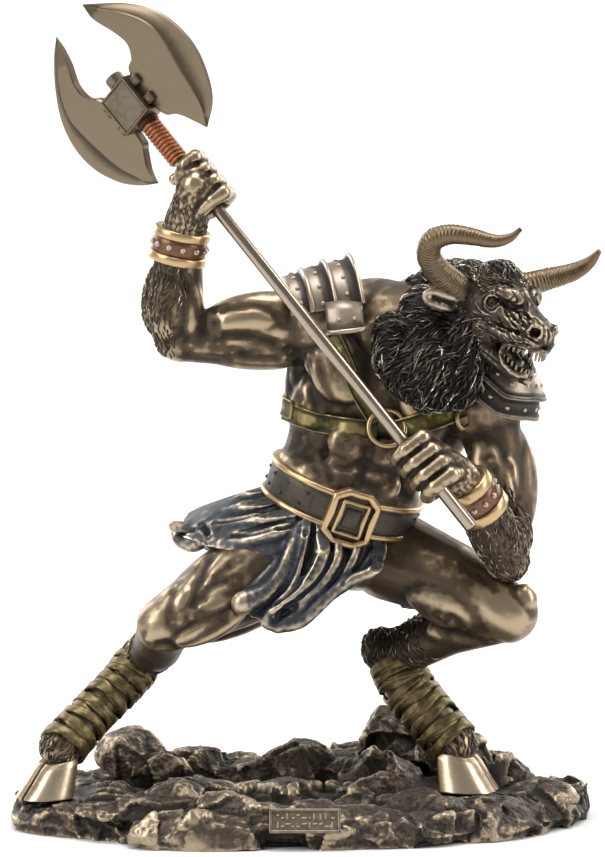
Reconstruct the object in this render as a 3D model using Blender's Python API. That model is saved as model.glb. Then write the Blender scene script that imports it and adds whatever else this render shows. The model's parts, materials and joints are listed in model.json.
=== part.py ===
"""Cast statue of a minotaur lunging over a rocky base with a double-bitted axe.

Four cast or turned pieces: the figure, the rock base, the axe head with its bound neck, and the axe shaft.
+X is to the viewer's right, +Y runs away from the viewer and +Z is up. The origin is under the base's middle.
"right" and "left" in names are the figure's own: its right arm is the raised one.
"""

import math
import random

import bmesh
import bpy
from mathutils import Matrix, Vector
from mathutils.bvhtree import BVHTree

# Driving sizes, in metres.
FIGURE_HEIGHT = 0.2844  # from the pads under the hooves to the top of the axe
BASE_LENGTH = 0.2136
BASE_DEPTH = 0.1220
PAD_HEIGHT = 0.0104  # top of the base where the hooves stand
RIM_HEIGHT = 0.0085
SHAFT_DIAMETER = 0.0048
SHAFT_CLEARANCE = 0.0003
AXE_SPAN = 0.0710  # from one cutting edge to the other
AXE_HEIGHT = 0.0666  # from the lower horns of the blades to the upper ones
BLADE_THICKNESS = 0.0040
EDGE_THICKNESS = 0.0007
SOCKET_WIDTH = 0.0146
SOCKET_HEIGHT = 0.0158
SOCKET_DEPTH = 0.0112
SLEEVE_DIAMETER = 0.0080
SLEEVE_LENGTH = 0.0200
CORD_DIAMETER = 0.0026
LUG_SIZE = 0.0036  # the four square lugs that lock the blades to the socket
LUG_RISE = 0.0013
FINIAL_DIAMETER = 0.0068
FINIAL_LENGTH = 0.0050
PLATE_LENGTH = 0.0245
PLATE_HEIGHT = 0.0086
PLATE_THICKNESS = 0.0030
SEAT_GAP = 0.0003  # between the hooves and the base
LEG_CLEARANCE = 0.0010  # between the legs and the rocks beside them
STANDING_LEDGE = 0.0006  # height of the base's top around the pads
FIGURE_GRAIN = 0.00110  # voxel at which the figure's clay is fused
ROCK_GRAIN = 0.00150
FIGURE_KEEP = 0.0305  # share of the fused faces that the faceted figure keeps
ROCK_KEEP = 0.034

# The pose is drawn in millimetres on a statue whose axe tops out at DRAWN_TOP over pads at DRAWN_PAD.
DRAWN_TOP = 294.8
DRAWN_PAD = 10.4
DRAWN_LENGTH = 213.6
DRAWN_DEPTH = 122.0
SCALE = FIGURE_HEIGHT / (DRAWN_TOP - DRAWN_PAD)
UP = Vector((0, 0, 1))

BRONZE = ("dark_bronze", (0.23, 0.17, 0.12), 0.42, 0.90)
STONE = ("rock_bronze", (0.17, 0.13, 0.10), 0.50, 0.85)
BLADE = ("brushed_bronze", (0.36, 0.30, 0.22), 0.32, 0.95)


def at(x, y, z):
    """A point of the drawn pose, in metres over the real pads."""
    return Vector((x * SCALE, y * SCALE, (z - DRAWN_PAD) * SCALE + PAD_HEIGHT))


def mm(length):
    """A drawn length in metres."""
    return length * SCALE


def frame_along(direction, side=UP):
    """A rotation whose Z lies along direction and whose X lies as near side as it can."""
    z = Vector(direction).normalized()
    x = Vector(side) - Vector(side).dot(z) * z
    if x.length < 1e-6:
        x = z.orthogonal()
    x.normalize()
    y = z.cross(x)
    return Matrix((x, y, z)).transposed()


# Joints of the pose.
PELVIS = at(16, 4, 101)
WAIST = at(12.8, 2, 113)
CHEST = at(29, 6, 157)
RIGHT_SHOULDER = at(4, 0, 181)
RIGHT_ELBOW = at(-44, -2, 175)
RIGHT_WRIST = at(-43.5, -7, 209)
LEFT_SHOULDER = at(65, -5, 150)
LEFT_ELBOW = at(73, -17, 97)
LEFT_WRIST = at(58.5, -35, 124)
RIGHT_HIP = at(0, -3, 99)
RIGHT_KNEE = at(-49, -24, 74)
RIGHT_HOCK = at(-58, 6, 58)
RIGHT_FETLOCK = at(-87, -12, 28)
LEFT_HIP = at(32, 5, 95.5)
LEFT_KNEE = at(74, -14, 77)
LEFT_HOCK = at(33, 11, 58)
LEFT_FETLOCK = at(55.5, 2, 26)
RIGHT_FOOT = at(-91.5, -15, DRAWN_PAD)
RIGHT_TOE = Vector((-0.82, -0.57, 0)).normalized()
LEFT_FOOT = at(58.5, -1, DRAWN_PAD)
LEFT_TOE = Vector((0.95, -0.31, 0)).normalized()
CROWN = at(68, -16, 192)

# The axe lies along one line through both fists.
AXE_TOP = at(-60.3, 2, 258.5)  # middle of the socket
SHAFT_BUTT = at(58.7, -52, 112.4)
AXE_AXIS = (AXE_TOP - SHAFT_BUTT).normalized()
BLADE_SIDE = Vector((0.546, -0.540, 0.641))
BLADE_SIDE = (BLADE_SIDE - BLADE_SIDE.dot(AXE_AXIS) * AXE_AXIS).normalized()
RIGHT_GRIP = AXE_TOP - AXE_AXIS * mm(39.8)
LEFT_GRIP = SHAFT_BUTT + AXE_AXIS * mm(26.6)

# The head's own axes: forward along the muzzle, to its left, and up.
MUZZLE = Vector((0.58, -0.72, -0.38)).normalized()
HEAD_LEFT = Vector((0.77, 0.62, -0.06))
HEAD_LEFT = (HEAD_LEFT - HEAD_LEFT.dot(MUZZLE) * MUZZLE).normalized()
HEAD_UP = MUZZLE.cross(HEAD_LEFT).normalized()

# The waist, leaning forwards and to the figure's left. BELT_AXIS points up through the ring of the belt.
BELT_CENTRE = at(14.5, 2, 117.3)
BELT_SIDE = Vector((0.945, 0, -0.327)).normalized()
BELT_FRONT = Vector((0, -1, -0.16))
BELT_FRONT = (BELT_FRONT - BELT_FRONT.dot(BELT_SIDE) * BELT_SIDE).normalized()
BELT_AXIS = BELT_FRONT.cross(BELT_SIDE)
BELT_REACH = mm(27.3)
BELT_DEPTH = mm(23.0)


def head(forward, left, up):
    """A point by its place from the crown, along the head's own axes, in drawn millimetres."""
    return CROWN + (MUZZLE * forward + HEAD_LEFT * left + HEAD_UP * up) * SCALE


def around_belt(angle, out=0.0, up=0.0):
    """A point on the belt's ellipse. Angle 0 faces the viewer and 90 the figure's left."""
    turn = math.radians(angle)
    side = BELT_SIDE * math.sin(turn) * (BELT_REACH + out)
    front = BELT_FRONT * math.cos(turn) * (BELT_DEPTH + out)
    return BELT_CENTRE + side + front + BELT_AXIS * up


def smooth_path(points, count):
    """Points along a Catmull-Rom curve through the given ones."""
    ends = [points[0] * 2 - points[1], *points, points[-1] * 2 - points[-2]]
    found = []
    for i in range(count):
        place = i / (count - 1) * (len(points) - 1)
        k = min(int(place), len(points) - 2)
        t = place - k
        a, b, c, d = ends[k : k + 4]
        found.append(
            (b * 2 + (c - a) * t + (a * 2 - b * 5 + c * 4 - d) * t**2 + (b * 3 - a - c * 3 + d) * t**3) / 2
        )
    return found


class Clay:
    """Closed shapes pressed together, to be fused into one body."""

    def __init__(self):
        self.mesh = bmesh.new()

    def ball(self, centre, radii, along=UP, side=(1, 0, 0)):
        """An ellipsoid: radii across (X), across (Y) and along (Z) the given direction."""
        turn = frame_along(along, side).to_4x4()
        size = Matrix.Diagonal((*(mm(r) for r in radii), 1))
        place = Matrix.Translation(centre) @ turn @ size
        bmesh.ops.create_icosphere(self.mesh, subdivisions=3, radius=1, matrix=place)

    def muscle(self, start, end, width, depth=None, facing=(0, -1, 0)):
        """A spindle from one attachment to the other."""
        depth = width if depth is None else depth
        length = (end - start).length / SCALE / 2
        self.ball((start + end) / 2, (depth, width, length), end - start, facing)

    def limb(self, *stops):
        """Round-ended tapered lengths through stops of (point, radius in drawn millimetres)."""
        for (start, first), (end, last) in zip(stops, stops[1:]):
            hull = bmesh.new()
            for point, radius in ((start, first), (end, last)):
                place = Matrix.Translation(point)
                bmesh.ops.create_icosphere(hull, subdivisions=2, radius=mm(radius), matrix=place)
            found = bmesh.ops.convex_hull(hull, input=hull.verts)
            loose = [v for v in found["geom_interior"] if isinstance(v, bmesh.types.BMVert)]
            bmesh.ops.delete(hull, geom=loose, context="VERTS")
            self.add(hull)

    def ring(self, path, tube, flat=1.0):
        """A closed cord through the points of path. flat widens its section along the ring's axis."""
        count = len(path)
        middle = sum(path, Vector()) / count
        sides = 8
        rows = []
        for i, point in enumerate(path):
            ahead = (path[(i + 1) % count] - path[i - 1]).normalized()
            out = point - middle
            out = (out - out.dot(ahead) * ahead).normalized()
            across = ahead.cross(out)
            row = []
            for k in range(sides):
                turn = math.tau * k / sides
                offset = out * math.cos(turn) * mm(tube) + across * math.sin(turn) * mm(tube * flat)
                row.append(self.mesh.verts.new(point + offset))
            rows.append(row)
        self.quads(rows, True, True)

    def quads(self, rows, close_rows, close_sides):
        """Faces between rows of points."""
        for i in range(len(rows) if close_rows else len(rows) - 1):
            this, following = rows[i], rows[(i + 1) % len(rows)]
            for k in range(len(this) if close_sides else len(this) - 1):
                n = (k + 1) % len(this)
                self.mesh.faces.new((this[k], this[n], following[n], following[k]))

    def sheet(self, rows, thickness):
        """A closed sheet, thick in drawn millimetres, over rows of points."""
        grid = bmesh.new()
        verts = [[grid.verts.new(p) for p in row] for row in rows]
        for this, following in zip(verts, verts[1:]):
            for k in range(len(this) - 1):
                grid.faces.new((this[k], this[k + 1], following[k + 1], following[k]))
        grid.normal_update()
        bmesh.ops.solidify(grid, geom=grid.faces[:], thickness=mm(thickness))
        self.add(grid)

    def drape(self, skin, point, core, lift):
        """The place where the line from point to core meets the skin, lifted off it."""
        inward = (core - point).normalized()
        found = skin.ray_cast(point - inward * mm(14), inward, mm(40))[0]
        return (point if found is None else found) - inward * mm(lift)

    def skin(self):
        """A tree of the clay's faces so far, to drape things on."""
        return BVHTree.FromBMesh(self.mesh)

    def strap(self, path, width, thickness, core, lift=0.6):
        """A flat band laid over the clay so far, along path and square to the lines from core."""
        skin = self.skin()
        rows = []
        for k, point in enumerate(path):
            inward = (core - point).normalized()
            ahead = path[min(k + 1, len(path) - 1)] - path[max(k - 1, 0)]
            across = ahead.cross(inward).normalized()
            row = []
            for share in (-0.5, 0, 0.5):
                row.append(self.drape(skin, point + across * mm(width * share), core, lift))
            middle = (row[0] + row[2]) / 2
            row[1] = row[1] if (row[1] - middle).dot(-inward) > 0 else middle
            rows.append(row)
        self.sheet(rows, thickness)

    def add(self, other):
        """Presses another mesh in."""
        bmesh.ops.recalc_face_normals(other, faces=other.faces)
        copied = {v: self.mesh.verts.new(v.co) for v in other.verts}
        for face in other.faces:
            self.mesh.faces.new([copied[v] for v in face.verts])
        other.free()

    def fused(self, name, grain, smoothing=0):
        """One object: the shapes fused by voxels and smoothed."""
        bmesh.ops.recalc_face_normals(self.mesh, faces=self.mesh.faces)
        obj = mesh_object(name, self.mesh)
        fuse = obj.modifiers.new("fuse", "REMESH")
        fuse.mode = "VOXEL"
        fuse.voxel_size = grain
        if smoothing:
            settle = obj.modifiers.new("settle", "SMOOTH")
            settle.factor = 0.5
            settle.iterations = smoothing
        return obj


def mesh_object(name, mesh):
    """A linked object made from a bmesh, which is freed."""
    data = bpy.data.meshes.new(name)
    mesh.to_mesh(data)
    mesh.free()
    obj = bpy.data.objects.new(name, data)
    bpy.context.scene.collection.objects.link(obj)
    return obj


def thin(obj, keep):
    """Thins a fused skin to a faceted one."""
    facets = obj.modifiers.new("thin", "DECIMATE")
    facets.ratio = keep


def finish(obj, look):
    """Gives the object its finish."""
    name, colour, roughness, metallic = look
    material = bpy.data.materials.get(name) or bpy.data.materials.new(name)
    material.use_nodes = True
    shader = material.node_tree.nodes["Principled BSDF"]
    shader.inputs["Base Color"].default_value = (*colour, 1)
    shader.inputs["Roughness"].default_value = roughness
    shader.inputs["Metallic"].default_value = metallic
    obj.data.materials.append(material)


def cut(obj, cutter, operation="DIFFERENCE"):
    """A Boolean on obj. The cutter stays as a hidden guide."""
    cutter.hide_render = True
    cutter.display_type = "WIRE"
    boolean = obj.modifiers.new(operation.lower() + "_" + cutter.name, "BOOLEAN")
    boolean.operation = operation
    boolean.solver = "EXACT"
    boolean.object = cutter


def rod(name, start, end, radius, sides):
    """A plain cylinder from start to end."""
    mesh = bmesh.new()
    place = Matrix.Translation((start + end) / 2) @ frame_along(end - start, BLADE_SIDE).to_4x4()
    bmesh.ops.create_cone(
        mesh, cap_ends=True, segments=sides, radius1=radius, radius2=radius,
        depth=(end - start).length, matrix=place,
    )
    return mesh_object(name, mesh)


def block(name, centre, turn, size):
    """A plain box."""
    mesh = bmesh.new()
    place = Matrix.Translation(centre) @ turn.to_4x4() @ Matrix.Diagonal((*size, 1))
    bmesh.ops.create_cube(mesh, size=1, matrix=place)
    return mesh_object(name, mesh)


def torso(clay):
    """Pelvis, belly, ribcage, back and the muscles that show on them."""
    lean = CHEST - WAIST
    clay.ball(PELVIS, (23, 19, 18), BELT_AXIS)
    clay.ball(at(17.5, 3, 121), (23.5, 18.5, 20), lean)
    clay.ball(CHEST, (30, 21, 30), lean)
    clay.ball(at(31, 10, 178), (24, 19, 17), lean)
    clay.muscle(at(0, 8, 137), at(4, 7, 180), 8.5)
    clay.muscle(at(44, 12, 124), at(58, 6, 158), 10)
    clay.muscle(at(4, 14, 126), at(22, 24, 184), 13, 9)
    clay.muscle(at(40, 20, 122), at(44, 22, 176), 13, 9)
    clay.muscle(at(20, -16, 158), at(4, -6, 176), 12, 7)
    clay.muscle(at(34, -18, 153), at(58, -8, 156), 12, 7)
    belly = ((16, -17, 136, 7.2), (14, -18, 127, 6.4), (29, -17, 132, 7.0), (25.5, -18, 123, 6.2))
    for x, y, z, width in belly:
        clay.ball(at(x, y, z), (width, 4.2, 5.2), lean)
    clay.muscle(at(-2, -3, 118), at(5, -6, 140), 7.5, 6)
    clay.muscle(at(33, -4, 112), at(39, -6, 131), 6.5, 6)
    for k in range(4):
        clay.muscle(at(1 + 2.4 * k, -11, 136 + 6 * k), at(-4 + 1.2 * k, 2, 145 + 6 * k), 2.8)
    clay.muscle(at(14, 20, 186), RIGHT_SHOULDER + at(0, 8, DRAWN_PAD) - at(0, 0, DRAWN_PAD), 9)
    clay.muscle(at(40, 16, 184), LEFT_SHOULDER, 11)


def neck_and_mane(clay):
    """The thick neck under the mane, which hangs over the chest to a point."""
    clay.limb((at(33, 5, 175), 21), (at(54, -9, 184), 18), (head(2, 0, -4), 13))
    clay.ball(at(45, -15, 168), (18, 12, 19), at(43, -28, 150) - at(48, -8, 186))
    clay.limb((at(45, -20, 166), 10), (at(43, -25, 153), 5.5))
    clay.limb((at(34, -14, 172), 11), (at(30, -12, 186), 9))
    clay.limb((at(58, -17, 172), 10), (at(58, -20, 160), 7))


def skull(clay):
    """The bull's head, mouth open."""
    clay.ball(head(3, 0, -3), (13.5, 12.0, 13), MUZZLE, HEAD_LEFT)
    clay.ball(head(2, 0, 4), (11, 7, 9), MUZZLE, HEAD_LEFT)
    clay.ball(at(62, -13, 196), (10, 8, 7.5), HEAD_UP, HEAD_LEFT)
    clay.limb((head(10, 0, -2.5), 9.5), (head(20, 0, -2.4), 7.2), (head(26.0, 0, -2.6), 6.4))
    for side in (-1, 1):
        clay.muscle(head(5, side * 10.5, 3.4), head(15, side * 5.5, 3.4), 3.2)
        clay.ball(head(9.0, side * 9.2, 0.0), (2.9, 2.9, 2.9))
        clay.ball(head(27.6, side * 4.2, -0.8), (4.0, 3.6, 3.8), MUZZLE, HEAD_LEFT)
        clay.muscle(head(0, side * 8, -11), head(15, side * 6.5, -8), 5.5)
        jaw = ((5, 7.5, -15, 4.8), (17, 5.2, -18.8, 3.2), (26, 2.2, -20.6, 2.8))
        lip = ((14, 6.6, -6.6, 2.8), (27, 4.6, -6.4, 2.4))
        ear = ((-3, 11, -5, 2.5), (-7, 17, -6.5, 3.4), (-9, 23, -6.5, 0.9))
        for stops in (jaw, lip, ear):
            clay.limb(*((head(forward, side * left, up), radius) for forward, left, up, radius in stops))
    clay.limb((head(3, 0, -15), 7.0), (head(13, 0, -19.5), 4.4), (head(25.5, 0, -21.8), 2.8))


def horns(clay):
    """Horns that sweep out, up and forward."""
    right = (
        (56.5, -18, 192.0, 5.0), (50.5, -24, 196.5, 4.9), (45.0, -30, 203, 4.6), (44.0, -36, 209.0, 4.2),
        (49.5, -40, 213.3, 3.8), (59.0, -43, 212.8, 3.1), (68.0, -46, 211.6, 2.2), (74.9, -48, 215.6, 0.9),
    )
    left = (
        (75, -7, 193, 4.8), (87.5, -4, 196.0, 4.1), (96.5, -6, 198.7, 3.3), (101.8, -11, 202.2, 2.3),
        (105.5, -15, 207.0, 1.0),
    )
    for stops in (right, left):
        centres = smooth_path([at(x, y, z) for x, y, z, _ in stops], 3 * len(stops))
        radii = smooth_path([Vector((r, 0, 0)) for *_, r in stops], 3 * len(stops))
        clay.limb(*((c, r.x) for c, r in zip(centres, radii)))


def arms(clay):
    """Both arms from shoulder to wrist."""
    clay.ball(RIGHT_SHOULDER, (15, 14, 15))
    clay.limb((RIGHT_SHOULDER, 12.5), (at(-22, -1, 175.5), 11.0), (at(-40, -2, 175), 9.0))
    clay.muscle(at(2, -4, 186), at(-39, -6, 178), 9.8, 9)
    clay.muscle(at(6, 0, 170), at(-40, -1, 172), 8.4, 10)
    clay.limb((RIGHT_ELBOW, 9.2), (at(-45.5, -3, 186), 10.5), (at(-44.3, -6, 199), 9.0), (RIGHT_WRIST, 8.4))
    clay.muscle(at(-48, -8, 173), at(-46, -8, 203), 8.3)
    clay.muscle(at(-52, 0, 175), at(-49, -2, 203), 7.0)
    clay.ball(LEFT_SHOULDER, (14, 14, 15))
    clay.limb((LEFT_SHOULDER, 12), (at(71, -9, 128), 9.8), (at(73.5, -14, 104), 8.5))
    clay.muscle(at(64, -12, 143), at(68, -20, 108), 8.5)
    clay.muscle(at(76, -4, 143), at(77, -12, 103), 8.0)
    clay.limb((LEFT_ELBOW, 8.0), (at(69, -23, 106), 9.4), (at(62, -31, 118), 7.8), (LEFT_WRIST, 6.8))
    clay.ball(at(74, -16, 93), (5, 5, 4.5))


def fist(clay, grip, wrist, knuckles, wrist_radius, turn_sign):
    """A hand closed on the shaft. knuckles points from the shaft towards the row of knuckles."""
    finger = 2.75
    reach = mm(finger) + SHAFT_DIAMETER / 2 + SHAFT_CLEARANCE
    out = (knuckles - knuckles.dot(AXE_AXIS) * AXE_AXIS).normalized()
    across = AXE_AXIS.cross(out) * turn_sign
    for k in range(4):
        middle = grip + AXE_AXIS * mm(8.2 - 5.5 * k)
        stops = []
        for degrees, lift in ((-55, 1.30), (-5, 1.34), (50, 1.10), (105, 1.0), (160, 1.0), (205, 1.0)):
            turn = math.radians(degrees)
            offset = (out * math.cos(turn) + across * math.sin(turn)) * reach * lift
            stops.append((middle + offset, finger if degrees < 160 else finger * 0.92))
        clay.limb(*stops)
    palm = grip + (out * 0.1 - across * 1.0) * mm(6.0)
    clay.ball(palm, (4.6, 7.0, 10.5), AXE_AXIS, across)
    clay.limb((palm, 6.2), (palm.lerp(wrist, 0.55), 8.0), (wrist, wrist_radius))
    thumb = grip - across * mm(5.0) - out * mm(4.5)
    clay.limb((palm, 4.4), (thumb + AXE_AXIS * mm(3), 3.4), (thumb + AXE_AXIS * mm(8) + across * mm(6), 2.8))


def legs(clay):
    """Both legs, bent like a bull's: knee forward, hock back, then the cannon down to the hoof."""
    clay.limb((RIGHT_HIP, 18.5), (at(-24, -14, 87), 15.5), (RIGHT_KNEE, 10.2))
    clay.muscle(at(-6, -6, 106), at(-50, -22, 77), 10.5, 10)
    clay.muscle(at(-4, -14, 92), at(-46, -27, 72), 9.5, 9)
    clay.muscle(at(4, 2, 90), at(-42, -10, 68), 10, 10)
    clay.limb((RIGHT_KNEE, 10), (at(-52, -8, 64), 9.6), (RIGHT_HOCK, 8.0))
    clay.muscle(at(-47, -14, 70), at(-49, 6, 55), 8.0)
    clay.limb((RIGHT_HOCK, 8.0), (at(-65.5, 1, 49), 7.0), (at(-77, -6, 38), 6.6), (RIGHT_FETLOCK, 7.6))
    clay.limb((LEFT_HIP, 16.8), (at(54, -5, 87.5), 14.0), (LEFT_KNEE, 10.6))
    clay.muscle(at(32, -3, 100), at(76, -13, 81), 9.0, 11)
    clay.muscle(at(36, -7, 87), at(70, -14, 74), 9.5, 10)
    clay.ball(LEFT_KNEE, (9.8, 10, 11))
    clay.limb((LEFT_KNEE, 10.2), (at(54, -1, 68), 8.0), (LEFT_HOCK, 9.0))
    clay.muscle(at(58, 2, 70), at(34, 10, 62), 8.4)
    clay.ball(at(28, 12, 60), (6.5, 7, 8))
    clay.limb((LEFT_HOCK, 9.2), (at(38, 9, 47), 8.6), (at(46, 6, 37), 7.8), (LEFT_FETLOCK, 8.0))


def hoof(clay, fetlock, ahead, ground, size=1.0):
    """A cloven hoof under a fetlock: two claws that flare to the ground and point ahead."""
    aside = UP.cross(ahead)
    claw = bmesh.new()
    for side in (-1, 1):
        low = [(-6.5, 1.2), (-6.5, 8.6), (1.5, 10.2), (8.5, 8.2), (11.2, 4.6), (11.2, 1.0)]
        high = [(-5.5, 0.8), (-5.5, 6.8), (0.5, 7.8), (4.6, 6.4), (6.4, 3.6), (6.4, 0.8)]
        rows = []
        for outline, level, shift in ((low, -2.5, 0.0), (low, 0.8, 0.0), (high, 13.2, 1.0)):
            lean = (fetlock - ground) * (level / 16.0)
            lean.z = 0
            row = []
            for f, a in outline:
                spread = (ahead * mm(f) + aside * mm(a * side)) * size
                row.append(claw.verts.new(ground + lean + spread + UP * mm(level - shift * f / 6)))
            rows.append(row)
        for this, following in zip(rows, rows[1:]):
            for k in range(len(this)):
                n = (k + 1) % len(this)
                claw.faces.new((this[k], this[n], following[n], following[k]))
        claw.faces.new(rows[0])
        claw.faces.new(rows[-1][::-1])
    clay.add(claw)
    clay.limb((fetlock, 7.8), (ground + (fetlock - ground) * 0.55, 7.4))
    clay.ball(ground + UP * mm(5) - ahead * mm(2), (7, 7, 7))


def wraps(clay, top, bottom, first, last, bends):
    """Strips wound round a cannon, each turn tilted the other way from time to time."""
    turns = 8
    for k in range(turns):
        share = (k + 0.3) / turns
        middle = top.lerp(bottom, share)
        tilt = bends * (0.34 if k % 3 else -0.30)
        turn = frame_along(bottom - top, (0, -1, 0)) @ Matrix.Rotation(tilt, 3, "Y")
        radius = first + (last - first) * share
        path = [
            middle + turn @ Vector((math.cos(a), math.sin(a), 0)) * mm(radius)
            for a in (math.tau * i / 20 for i in range(20))
        ]
        clay.ring(path, 0.9, 2.4)


def belt(clay):
    """The broad belt with its two raised edges and its eight-sided buckle."""
    steps = [360 * i / 40 for i in range(40)]
    clay.ball(BELT_CENTRE, (26.5, 22.5, 11), BELT_AXIS, BELT_SIDE)
    for level, tube, flat in ((0, 1.6, 4.2), (6.6, 1.3, 1.0), (-6.6, 1.3, 1.0)):
        clay.ring([around_belt(a, mm(0.2), mm(level)) for a in steps], tube, flat)
    middle = around_belt(8, mm(2.2))
    out = (middle - BELT_CENTRE).normalized()
    turn = frame_along(out, BELT_AXIS)
    corners = []
    for x, y in ((11, -4), (11, 4), (7, 9), (-7, 9), (-11, 4), (-11, -4), (-7, -9), (7, -9)):
        corners.append(middle + turn @ Vector((mm(x), mm(y), 0)))
    clay.ring(corners, 1.7, 1.0)
    plate = bmesh.new()
    for lift in (-2.5, 0.2):
        for corner in corners:
            plate.verts.new(corner + out * mm(lift))
    bmesh.ops.convex_hull(plate, input=plate.verts)
    clay.add(plate)
    inner = ((5, -4.5), (5, 4.5), (-5, 4.5), (-5, -4.5))
    clay.ring([middle + turn @ Vector((mm(x), mm(y), mm(0.4))) for x, y in inner], 1.5)


def harness(clay):
    """Leather straps over the chest, and the rings that join them."""
    runs = (
        (at(-8, 2, 148), at(0, -14, 144), at(25, -22, 139.5)),
        (at(16, -16, 179), at(20, -18, 164), at(27, -22, 148)),
        (at(36, -22, 142.5), at(45, -22, 143.5), at(56, -20, 146.5)),
    )
    core = at(28, 10, 148)
    for run in runs:
        clay.strap(smooth_path(list(run), 9), 7.0, 2.2, core)
    skin = clay.skin()
    for centre, radius in ((at(31, -25, 144), 6.2), (at(58, -20, 146.5), 3.8)):
        turn = frame_along(centre - core)
        path = []
        for i in range(16):
            angle = math.tau * i / 16
            point = centre + turn @ Vector((math.cos(angle), math.sin(angle), 0)) * mm(radius)
            path.append(clay.drape(skin, point, core, 0.5))
        clay.ring(path, 1.0)


def cuffs(clay):
    """A studded cuff on each wrist between two raised bands."""
    places = (
        (at(-44.6, -5, 203.6), at(-42.4, -7.0, 213.2), 9.2, 9.0),
        (at(63, -30.5, 117), at(57.5, -36.5, 126), 8.4, 7.8),
    )
    for low, high, first, last in places:
        turn = frame_along(high - low)
        for share, tube, flat in ((0.0, 1.2, 1.2), (0.5, 1.0, 4.0), (1.0, 1.2, 1.2)):
            radius = first + (last - first) * share
            clay.ring([
                low.lerp(high, share) + turn @ Vector((math.cos(a), math.sin(a), 0)) * mm(radius)
                for a in (math.tau * i / 24 for i in range(24))
            ], tube, flat)


def plate_band(clay, centre, axis, top, first, last, start, end, low, high, rim):
    """A curved armour band round an axis, from angle low to high off its top, flaring to a raised rim."""
    turn = frame_along(axis, top)
    angles = [math.radians(low + (high - low) * i / 14) for i in range(15)]
    rows = []
    for share in (0, 0.5, 1):
        radius = first + (last - first) * share
        along = start + (end - start) * share
        rows.append([
            centre + turn @ Vector((math.cos(a) * radius, math.sin(a) * radius, along)) * SCALE
            for a in angles
        ])
    clay.sheet(rows, -2.4)
    clay.limb(*((p, rim) for p in rows[-1]))


def armour(clay):
    """Banded plates on the right shoulder and a studded double plate on the left."""
    axis = at(24, 4, 186) - at(-16, -2, 180)
    centre = at(5, 1, 182.5)
    for start, end, first, last in ((-11, -3.5, 15.5, 17.4), (-4, 5, 16.8, 19.4), (4.5, 14.5, 17.6, 19.8)):
        plate_band(clay, centre, axis, (0, 0, 1), first, last, start, end, -75, 75, 0.9)
    clay.sheet([
        [at(9, -16, 187), at(15, -17, 187.5), at(20.5, -16, 186)],
        [at(9.5, -20, 177.5), at(15, -21.5, 176), at(21, -20, 178.5)],
    ], 2.0)
    cap = LEFT_SHOULDER + at(2, -2, 3 + DRAWN_PAD) - at(0, 0, DRAWN_PAD)
    crown = Vector((0.45, -0.12, 0.88))
    clay.ball(cap, (17.0, 17.5, 16.5), crown)
    for drop, radius, rim in ((-5.5, 17.4, 1.5), (-9.5, 17.8, 1.5)):
        turn = frame_along(crown)
        clay.ring([
            cap + turn @ Vector((math.cos(a) * mm(radius), math.sin(a) * mm(radius), mm(drop)))
            for a in (math.tau * i / 32 for i in range(32))
        ], rim, 1.6)


def cloth(clay):
    """The loincloth, blown towards the trailing leg: a hip panel, a front panel and a back one."""
    panels = (
        ((-122, -78, -34), (at(-43, 18, 108), at(-45, 0, 104), at(-33, -19, 95)), 6, 4),
        (
            (-42, 2, 42),
            (at(-26, -29, 84), at(-11, -33, 76), at(8, -30, 84), at(28, -24, 94)),
            3, 4,
        ),
        ((-122, -180, -250), (at(-40, 26, 100), at(-6, 36, 76), at(34, 32, 82)), 5, 6),
    )
    columns, levels = 21, 7
    for top, hem, bulge, folds in panels:
        upper = smooth_path([around_belt(angle, mm(-0.4), mm(-6)) for angle in top], columns)
        lower = smooth_path(list(hem), columns)
        middle = at(14, 4, 95)
        rows = []
        for level in range(levels):
            v = level / (levels - 1)
            row = []
            for k in range(columns):
                point = upper[k].lerp(lower[k], v)
                out = point - middle
                out.z = 0
                wave = math.cos(math.tau * folds * k / (columns - 1)) * 2.2 * v
                row.append(point + out.normalized() * mm(bulge * math.sin(math.pi * v) + wave))
            rows.append(row)
        clay.sheet(rows, 2.6)


def axe_line(name, radius):
    """The shaft's own line, longer than the shaft at both ends."""
    return rod(name, SHAFT_BUTT - AXE_AXIS * 0.02, AXE_TOP + AXE_AXIS * 0.02, radius, 20)


def ground_box(name, top):
    """Everything under a level."""
    size = 2 * BASE_LENGTH
    return block(name, Vector((0, 0, top - size / 2)), Matrix.Identity(3), (size, size, size))


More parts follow.
